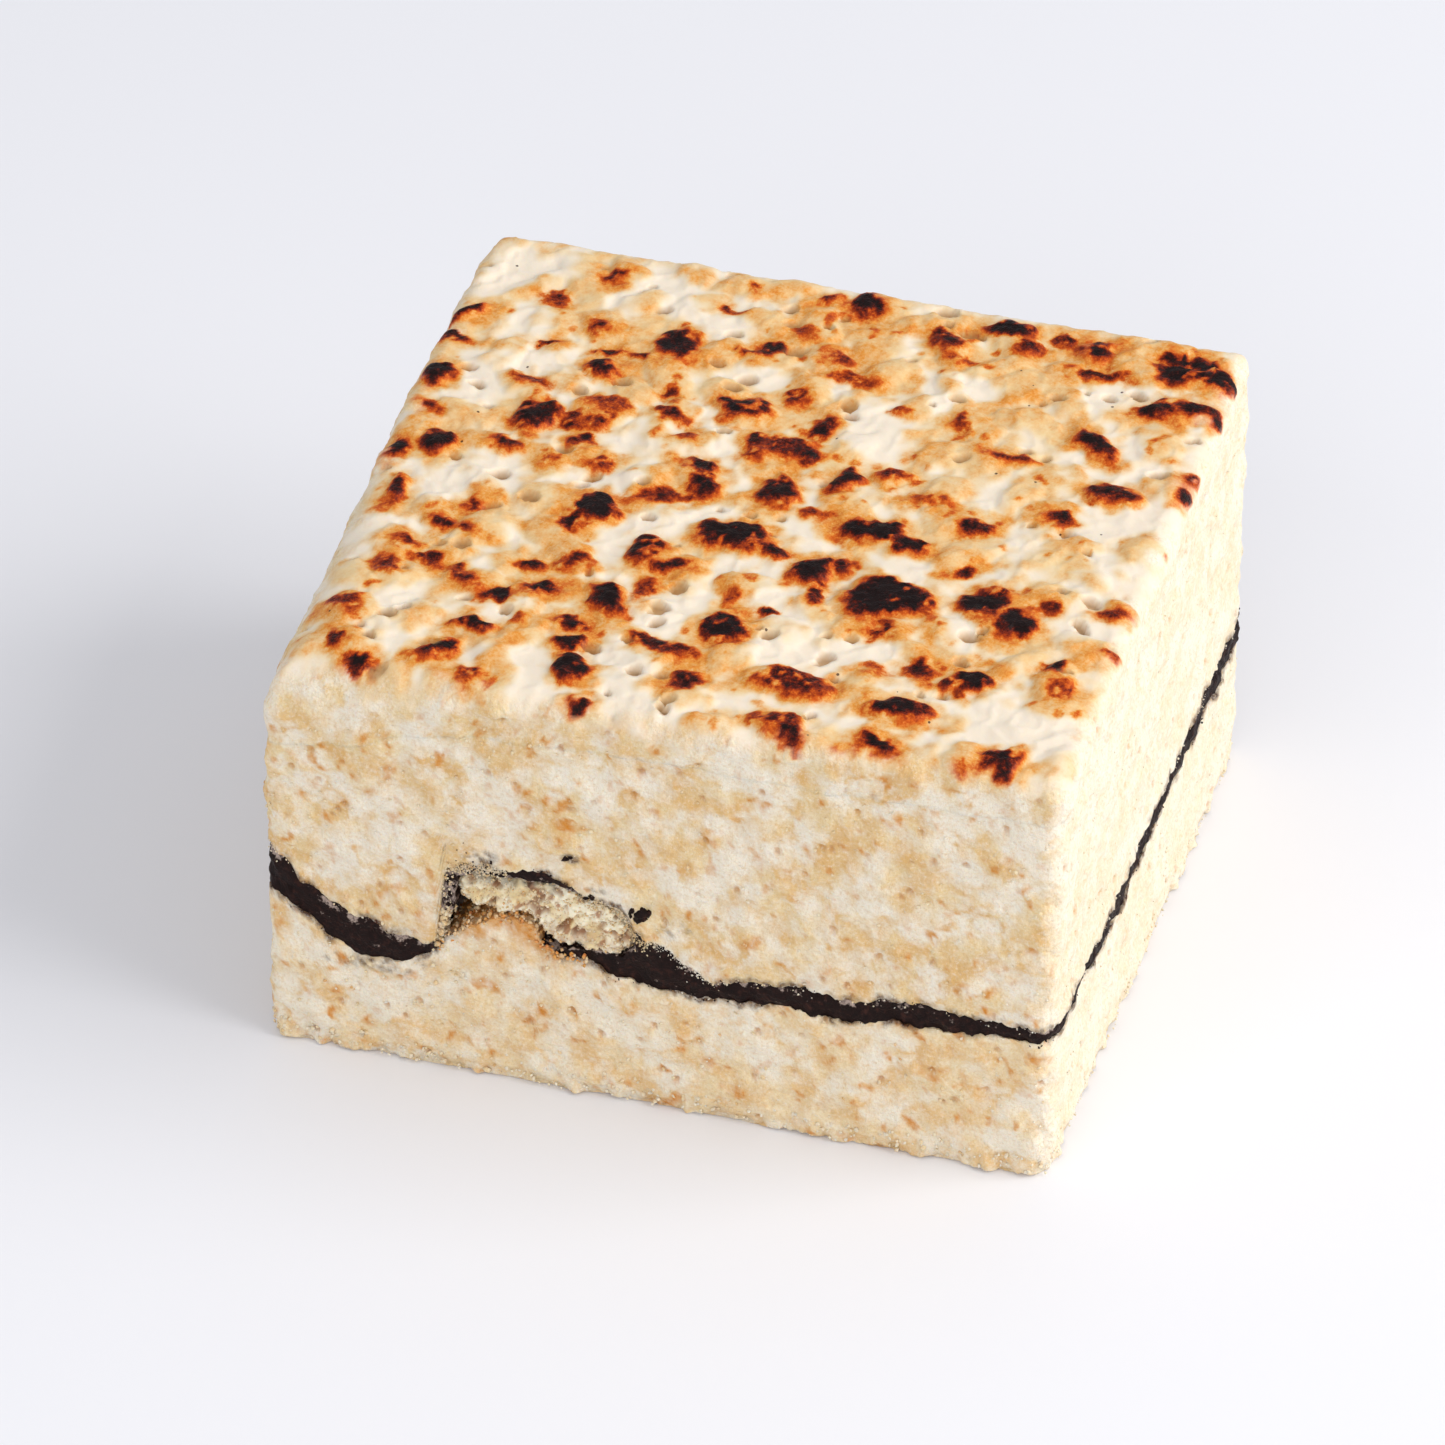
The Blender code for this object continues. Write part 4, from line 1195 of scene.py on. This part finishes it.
def break_crumbs(draw, clump):
    """Where crumbs lie on the clump, on the floor of the break under it, and over the broken chocolate round
    it: places, sizes, how brown each one is, and how much painted glow it has, an orange on the crumbs of the
    floor for light shining through them."""
    count = BREAK_CRUMBS
    on_clump = vertex_places(clump) / MM - np.array((CENTRING[0], CENTRING[1], 0.0))
    on_clump = on_clump[on_clump[:, 1] < -DEPTH / 2 + 1.5]
    chosen = on_clump[draw.integers(0, len(on_clump), count)]
    kind = draw.uniform(size=count)
    front = np.full(count, -DEPTH / 2)
    floor_x = draw.uniform(-17.6, -5.4, count)
    floor_y = front + draw.uniform(-0.1, 3.2, count).clip(0.0) ** 1.3
    floor_z = ragged_level(floor_x, floor_y, 1) + draw.normal(-0.1, 0.25, count)
    heap_z = draw.uniform(12.0, 16.6, count)
    heap_x = -18.0 + 0.25 * (heap_z - 12.0) + draw.normal(0.0, 0.3, count)
    heap_y = front + draw.uniform(-0.1, 1.2, count)
    wall_z = draw.uniform(16.5, 21.2, count)
    wall_x = -17.0 + 0.1 * (wall_z - 16.5) + draw.normal(0.0, 0.35, count)
    bank_x = draw.uniform(-6.0, -0.6, count)
    bank_z = along_front(bank_x, 2) - draw.exponential(0.5, count)
    film_x = draw.uniform(-16.4, -12.0, count)
    film_z = along_front(film_x, 2) + draw.normal(-0.2, 0.3, count)

    until, small, large, browning = np.array(BREAK_PLACES).T
    part = np.searchsorted(until[:-1], kind)
    x = np.choose(part, (chosen[:, 0], floor_x, heap_x, wall_x, bank_x, film_x))
    y = np.choose(part, (chosen[:, 1], floor_y, heap_y, front, front, front))
    z = np.choose(part, (chosen[:, 2], floor_z, heap_z, wall_z, bank_z, film_z))
    placed, _ = on_plan(x, y, z)
    places = np.where((part == 0)[:, None], chosen, placed)
    on_floor = part == 1
    brown = draw.uniform(size=count) ** 2 * browning[part]
    brown = np.where(on_floor, 0.25 + 0.75 * brown, brown)
    # Painted glow: crumbs on the floor of the break get an orange that stands for light shining through them.
    glow = np.where(on_floor, between(0.0, 0.6, draw.uniform(size=count)), 0.0)
    sizes = small[part] + (large[part] - small[part]) * draw.uniform(size=count)
    return places, sizes, brown, glow


def rice_crumbs(clump):
    """Crumbs of rice and marshmallow on the cut sides, along the chocolate and in the break."""
    draw = np.random.default_rng(CRUMB_SEEDS[0])
    on_side, side_sizes = side_crumbs(draw)
    on_edge, edge_sizes = edge_crumbs(draw)
    in_break, break_sizes, brown, glow = break_crumbs(draw, clump)
    places = np.concatenate((on_side, on_edge, in_break))
    rice, tint, amber, _ = cut_look(places)
    sizes = np.concatenate((side_sizes * (0.6 + 0.4 * rice[: len(on_side)]), edge_sizes, break_sizes))
    obj, which = scattered("rice_crumbs", places, sizes, CRUMB_SEEDS[1])
    outside = len(on_side) + len(on_edge)
    amber = np.concatenate((amber[:outside] * 0.6, brown))
    rice = np.where(np.arange(len(places)) < outside, rice * 0.8, 0.55 + 0.45 * rice)
    give_colours(obj, "cut", rice[which], tint[which], amber[which])
    # The floor crumbs' painted glow is laid on as a little burn on the coat, which turns them orange.
    glow = np.concatenate((np.zeros(outside), glow))[which]
    give_colours(obj, "torch", 1.0 - glow, 0.25 * glow)
    give_colours(obj, "bare", 1.0 - 0.75 * glow)
    return obj


def chocolate_crumbs():
    """Bits of chocolate that broke off along its edges and over the clump, and the larger ones beside it."""
    draw = np.random.default_rng(CHOCOLATE_CRUMB_SEEDS[0])
    count = CHOCOLATE_CRUMBS
    x = draw.uniform(-32.0, 32.0, count)
    near_clump = draw.uniform(size=count) < 0.3
    x = np.where(near_clump, draw.uniform(-18.5, 1.0, count), x)
    right = draw.uniform(size=count) < 0.25
    y = np.where(right, draw.uniform(-29.0, 29.0, count), -DEPTH / 2)
    x = np.where(right, WIDTH / 2, x)
    side = np.where((draw.uniform(size=count) < 0.5) & ((x < -17.5) | (x > -6.5)), 1, 2)
    off = np.abs(draw.normal(0.0, 0.14, count))
    low, high = ragged_level(x, y, 1), ragged_level(x, y, 2)
    z = np.where(side == 1, low - off, high + off)
    sizes = 0.07 + 0.2 * draw.uniform(size=count) ** 2
    over_clump = draw.uniform(size=count) < 0.14
    x = np.where(over_clump, draw.normal(-14.6, 1.1, count), x)
    y = np.where(over_clump, -DEPTH / 2, y)
    z = np.where(over_clump, 21.6 + draw.normal(0.0, 0.6, count), z)
    for number, (bit_x, bit_z, bit_size) in enumerate(CHOCOLATE_BITS):
        x[number], y[number], z[number], sizes[number] = bit_x, -DEPTH / 2, bit_z, bit_size
    places, outward = cut_side(x, y, z, np.ones_like(x))
    obj, _ = scattered("chocolate_crumbs", places + outward * 0.02, sizes, CHOCOLATE_CRUMB_SEEDS[1], 0.5)
    return obj


# sRGB hex to linear light
def linear(code):
    channels = [int(code[i : i + 2], 16) / 255.0 for i in (0, 2, 4)]
    return tuple(c / 12.92 if c <= 0.04045 else ((c + 0.055) / 1.055) ** 2.4 for c in channels) + (1.0,)


def add(tree, kind, values=None, links=None, **settings):
    """Adds a node: its settings, the values of its sockets, and what its sockets are linked to."""
    node = tree.nodes.new(kind)
    for name, value in settings.items():
        setattr(node, name, value)
    for socket, value in (values or {}).items():
        node.inputs[socket].default_value = value
    for socket, source in (links or {}).items():
        tree.links.new(source, node.inputs[socket])
    return node


def ramp(tree, source, *stops):
    """A colour ramp through (place, hex colour) stops."""
    node = add(tree, "ShaderNodeValToRGB", links={0: source})
    elements = node.color_ramp.elements
    while len(elements) < len(stops):
        elements.new(1.0)
    for element, (place, code) in zip(elements, stops):
        element.position = place
        element.color = linear(code)
    return node.outputs["Color"]


def new_material(name):
    material = bpy.data.materials.new(name)
    material.use_nodes = True
    tree = material.node_tree
    tree.nodes.clear()
    shader = add(tree, "ShaderNodeBsdfPrincipled")
    add(tree, "ShaderNodeOutputMaterial", links={"Surface": shader.outputs["BSDF"]})
    return material, tree, shader


def mix(tree, factor, first, second, blend="MIX"):
    """Two colours mixed by a factor, each a socket or a hex colour."""
    node = add(tree, "ShaderNodeMix", data_type="RGBA", blend_type=blend, clamp_factor=True)
    for socket, value in ((0, factor), (6, first), (7, second)):
        if isinstance(value, str):
            node.inputs[socket].default_value = linear(value)
        elif isinstance(value, float):
            node.inputs[socket].default_value = value
        else:
            tree.links.new(value, node.inputs[socket])
    return node.outputs[2]


def maths(tree, operation, first, second, clamp=False):
    """One step of arithmetic on sockets or numbers."""
    node = add(tree, "ShaderNodeMath", operation=operation, use_clamp=clamp)
    for socket, value in ((0, first), (1, second)):
        if isinstance(value, (int, float)):
            node.inputs[socket].default_value = value
        else:
            tree.links.new(value, node.inputs[socket])
    return node.outputs[0]


def times(tree, first, second, clamp=False):
    return maths(tree, "MULTIPLY", first, second, clamp)


def plus(tree, first, second, clamp=False):
    return maths(tree, "ADD", first, second, clamp)


def minus(tree, first, second, clamp=False):
    return maths(tree, "SUBTRACT", first, second, clamp)


def grain_scale(size):
    """Texture scale for a pattern whose features are size millimetres wide."""
    return 1.0 / (size * MM)


def own_place(tree):
    """Where a point lies on the piece."""
    return add(tree, "ShaderNodeTexCoord").outputs["Object"]


def grainy(tree, place, size, detail, roughness):
    """Uneven grain from 0 to 1, size millimetres wide."""
    values = {"Scale": grain_scale(size), "Detail": detail, "Roughness": roughness}
    return add(tree, "ShaderNodeTexNoise", values, {"Vector": place}).outputs["Fac"]


def dotted(tree, place, size):
    """Scattered dots about size millimetres apart: the distance from the nearest, and a colour for each."""
    values = {"Scale": grain_scale(size)}
    return add(tree, "ShaderNodeTexVoronoi", values, {"Vector": place}, feature="F1").outputs


def masks(tree, name):
    """The three masks that the piece carries under a name."""
    carried = add(tree, "ShaderNodeAttribute", attribute_name=name).outputs["Color"]
    return add(tree, "ShaderNodeSeparateColor", links={0: carried}).outputs


def bumps(tree, shader, height, millimetres, strength):
    """Fine roughness in the surface, from a height of 0 to 1."""
    bump = add(tree, "ShaderNodeBump", {"Distance": millimetres * MM}, {"Height": height})
    if isinstance(strength, float):
        bump.inputs["Strength"].default_value = strength
    else:
        tree.links.new(strength, bump.inputs["Strength"])
    tree.links.new(bump.outputs["Normal"], shader.inputs["Normal"])


def lit_through(shader, weight, millimetres):
    """Pale food lets light a little way in, the warm part furthest."""
    shader.inputs["Subsurface Weight"].default_value = weight
    shader.inputs["Subsurface Radius"].default_value = (1.0, 0.72, 0.45)
    shader.inputs["Subsurface Scale"].default_value = millimetres * MM


def knife_cut(tree, grit, pinch, pore, smudge_and_shade, marshmallow, pale_rice, deep_rice, amber):
    """Colour of a cut side: white marshmallow, tan rice, amber spots and chocolate that the knife dragged,
    whose dark brown also paints shade on the lower slab's inner top in the cavity.
    """
    rice, tint, amber_mask = masks(tree, "cut")
    rice_edge = plus(tree, rice, times(tree, minus(tree, grit, 0.5), 1.1), True)
    colour = mix(tree, rice_edge, marshmallow, mix(tree, tint, pale_rice, deep_rice))
    amber_edge = times(tree, amber_mask, times(tree, grit, 1.5, True), True)
    colour = mix(tree, amber_edge, colour, amber)
    colour = mix(tree, times(tree, pore, 0.55), colour, amber)
    # The dark brown is dragged chocolate, and painted shade where it lies on the lower slab's inner top in
    # the cavity.
    stain_and_shade = times(tree, smudge_and_shade, times(tree, grit, 1.7, True), True)
    colour = mix(tree, stain_and_shade, colour, "3f2018")
    darker = times(tree, minus(tree, pinch, 0.52, True), 2.2, True)
    lighter = times(tree, minus(tree, 0.48, pinch, True), 2.0, True)
    plain = minus(tree, 1.0, amber_mask, True)
    colour = mix(tree, times(tree, darker, plain), colour, "d0a466")
    return mix(tree, times(tree, lighter, plain), colour, "f4eddf")


def torched_coat(tree, place, pinch):
    """Colour of the melted coat, from cream through orange to black, with specks of ash, and its heat."""
    coat, burn, pit = masks(tree, "torch")
    clot = grainy(tree, place, 1.0, 5.0, 0.65)
    flicker = plus(tree, times(tree, pinch, 0.9), times(tree, clot, 1.3))
    flicker = minus(tree, flicker, 1.08)
    lively = times(tree, flicker, times(tree, burn, 1.3, True))
    heat = plus(tree, burn, lively, True)
    seared = ramp(
        tree,
        heat,
        (0.0, "e7d2ae"),
        (0.07, "e4c898"),
        (0.14, "e1b87f"),
        (0.23, "dc9540"),
        (0.35, "c85a15"),
        (0.47, "9c370c"),
        (0.59, "6b1c09"),
        (0.73, "3c0e07"),
        (0.9, "160706"),
    )
    cloud = minus(tree, grainy(tree, place, 2.4, 4.0, 0.6), 0.5)
    veil = plus(tree, coat, times(tree, cloud, 0.5), True)
    veil = times(tree, veil, minus(tree, 1.15, times(tree, heat, 3.5)), True)
    colour = mix(tree, times(tree, veil, 0.92), seared, "ebdecb")
    colour = mix(tree, times(tree, pit, 0.8), colour, "b98f5e")
    ash = dotted(tree, place, 1.7)
    number = add(tree, "ShaderNodeSeparateColor", links={0: ash["Color"]}).outputs[0]
    chosen = maths(tree, "GREATER_THAN", number, 0.82)
    speckled = times(tree, chosen, maths(tree, "LESS_THAN", ash["Distance"], 0.075))
    return mix(tree, times(tree, speckled, 0.85), colour, "3a1a10"), heat


def crisped_rice(name, marshmallow, pale_rice, deep_rice, amber):
    """Crisped rice set in marshmallow, cut with a knife and torched on top: satin where the coat melted, and
    dry and crumbly where it is cut or charred."""
    material, tree, shader = new_material(name)
    place = own_place(tree)
    grit = grainy(tree, place, 0.55, 3.0, 0.6)
    pinch = grainy(tree, place, 0.28, 3.0, 0.7)
    side, pore, smudge_and_shade = masks(tree, "bare")
    bared = knife_cut(tree, grit, pinch, pore, smudge_and_shade, marshmallow, pale_rice, deep_rice, amber)
    coated, heat = torched_coat(tree, place, pinch)
    tree.links.new(mix(tree, side, coated, bared), shader.inputs["Base Color"])

    gloss = {"From Min": 0.3, "From Max": 0.7, "To Min": 0.32, "To Max": 0.6}
    shine = add(tree, "ShaderNodeMapRange", gloss, {"Value": grit}).outputs[0]
    dry = plus(tree, shine, times(tree, side, 0.22), True)
    tree.links.new(dry, shader.inputs["Roughness"])
    crumbs = times(tree, dotted(tree, place, 0.7)["Distance"], 0.5)
    height = plus(tree, grainy(tree, place, 0.3, 2.0, 0.65), crumbs)
    rough = maths(tree, "MAXIMUM", side, maths(tree, "GREATER_THAN", heat, 0.55))
    bumps(tree, shader, height, 0.2, plus(tree, times(tree, rough, 0.7), 0.15, True))
    shader.inputs["Specular IOR Level"].default_value = 0.13
    lit_through(shader, 0.3, 0.5)
    return material


def dark_chocolate():
    """Dark chocolate, broken and dragged by the knife: nearly black, satin, with pale crumbs stuck to it."""
    material, tree, shader = new_material("dark_chocolate_broken")
    place = own_place(tree)
    grit = grainy(tree, place, 0.6, 4.0, 0.65)
    brown = ramp(tree, grit, (0.3, "130907"), (0.55, "20100d"), (0.72, "3b211a"))
    dust = times(tree, masks(tree, "dust")[0], 0.2)
    crumb = plus(tree, grainy(tree, place, 0.9, 3.0, 0.7), dust)
    dusted = times(tree, minus(tree, crumb, 0.66, True), 9.0, True)
    tree.links.new(mix(tree, dusted, brown, "a8958a"), shader.inputs["Base Color"])
    shader.inputs["Roughness"].default_value = 0.55
    shader.inputs["Specular IOR Level"].default_value = 0.12
    bumps(tree, shader, grit, 0.3, 0.9)
    return material


def pale_crumb():
    """Dry crumb of the clump: beige, flecked with brown, with painted shade in its small holes and darker
    along its lower edge, and brown with chocolate along its top.
    """
    material, tree, shader = new_material("pale_dry_crumb")
    tint, dark, cocoa = masks(tree, "crumb")
    grit = grainy(tree, own_place(tree), 0.5, 3.0, 0.65)
    beige = mix(tree, tint, "f1e7cc", "e2ca98")
    flecked_and_shaded = mix(tree, times(tree, dark, 0.8, True), beige, "9a5a24")
    smear_and_painted_light = times(tree, cocoa, times(tree, grit, 1.0, True), True)
    tree.links.new(mix(tree, smear_and_painted_light, flecked_and_shaded, "43302b"), shader.inputs["Base Color"])
    shader.inputs["Roughness"].default_value = 0.75
    bumps(tree, shader, grit, 0.1, 0.6)
    lit_through(shader, 0.25, 0.6)
    return material


def finish_piece(obj, material, slot, *nodes):
    """Smooth shading, material, body and the solids that the piece stands for. The slot is not used."""
    deselect()
    obj.select_set(True)
    bpy.context.view_layer.objects.active = obj
    bpy.ops.object.shade_smooth_by_angle(angle=math.radians(SMOOTH_ANGLE))
    obj.data.materials.append(material)
    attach(obj, "root")
    if nodes:
        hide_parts(*nodes)


def main():
    face = toasted_face()
    upper_rice = crisped_rice("torched_rice_and_marshmallow", "e9dfcc", "e3cb9e", "d9b074", "cb8434")
    lower_rice = crisped_rice("cut_rice_and_marshmallow", "e9dfcb", "e6d0a7", "deb882", "cd8638")
    finish_piece(upper_crust(face), upper_rice, "toasted_rice", "top_slab")
    finish_piece(upper_body(), upper_rice, "toasted_rice", "top_slab")
    finish_piece(lower_slab(), lower_rice, "crisped_rice", "bottom_slab")
    chocolate = dark_chocolate()
    finish_piece(chocolate_sheet(), chocolate, "dark_chocolate", "chocolate_layer")
    clump = crumbly_clump()
    finish_piece(clump, pale_crumb(), "pale_crumb", "filling_clump")
    finish_piece(rice_crumbs(clump), lower_rice, "crisped_rice")
    finish_piece(chocolate_crumbs(), chocolate, "dark_chocolate")


def soft_light(name, place, target, size, watts, colour=(1.0, 1.0, 1.0)):
    """A large softbox at a place, facing a target."""
    data = bpy.data.lights.new(name, "AREA")
    data.shape = "RECTANGLE"
    data.size, data.size_y = size
    data.energy = watts
    data.color = colour
    lamp = bpy.data.objects.new(name, data)
    bpy.context.scene.collection.objects.link(lamp)
    lamp.location = place
    lamp.rotation_euler = (Vector(target) - Vector(place)).to_track_quat("-Z", "Y").to_euler()


def stage():
    """A plain pale table top and soft studio light."""
    deselect()
    bpy.ops.mesh.primitive_plane_add(size=6.0)
    floor = made_active("table_top")
    material, _, shader = new_material("matt_white_table")
    shader.inputs["Base Color"].default_value = linear("e9e9ed")
    shader.inputs["Roughness"].default_value = 0.75
    floor.data.materials.append(material)

    soft_light("key_softbox", (0.75, 0.02, 0.5), (0.0, 0.0, 0.02), (0.7, 0.7), 6.85, (1.0, 0.985, 0.96))
    soft_light("front_fill", (-0.1, -0.9, 0.6), (0.0, 0.0, 0.02), (0.9, 0.6), 3.35)
    world = bpy.data.worlds.new("studio")
    bpy.context.scene.world = world
    world.use_nodes = True
    world.node_tree.nodes["Background"].inputs["Color"].default_value = (0.93, 0.95, 1.0, 1.0)
    world.node_tree.nodes["Background"].inputs["Strength"].default_value = 0.63
    bpy.context.scene.view_settings.view_transform = "Standard"


# The camera, as seen from the square: degrees round and up, millimetres away, and what it looks at.
CAMERA_ROUND = 17.193
CAMERA_UP = 37.2
CAMERA_AWAY = 591.7
CAMERA_ROLL = -0.418
CAMERA_TARGET = (-3.770, 0.130, 16.0)
CAMERA_LENS = 180.0


def camera():
    round_about, up = math.radians(CAMERA_ROUND), math.radians(CAMERA_UP)
    back = Vector(
        (math.sin(round_about) * math.cos(up), -math.cos(round_about) * math.cos(up), math.sin(up))
    )
    data = bpy.data.cameras.new("camera")
    data.lens = CAMERA_LENS
    data.sensor_width = 36.0
    data.clip_end = 20.0
    made = bpy.data.objects.new("camera", data)
    bpy.context.scene.collection.objects.link(made)
    made.location = (Vector(CAMERA_TARGET) + back * CAMERA_AWAY) * MM
    turn = back.to_track_quat("Z", "Y")
    made.rotation_euler = (turn @ Euler((0.0, 0.0, math.radians(CAMERA_ROLL))).to_quaternion()).to_euler()
    bpy.context.scene.camera = made


camera()
main()
stage()


def plain(box):
    return [[float(value) for value in corner] for corner in box]
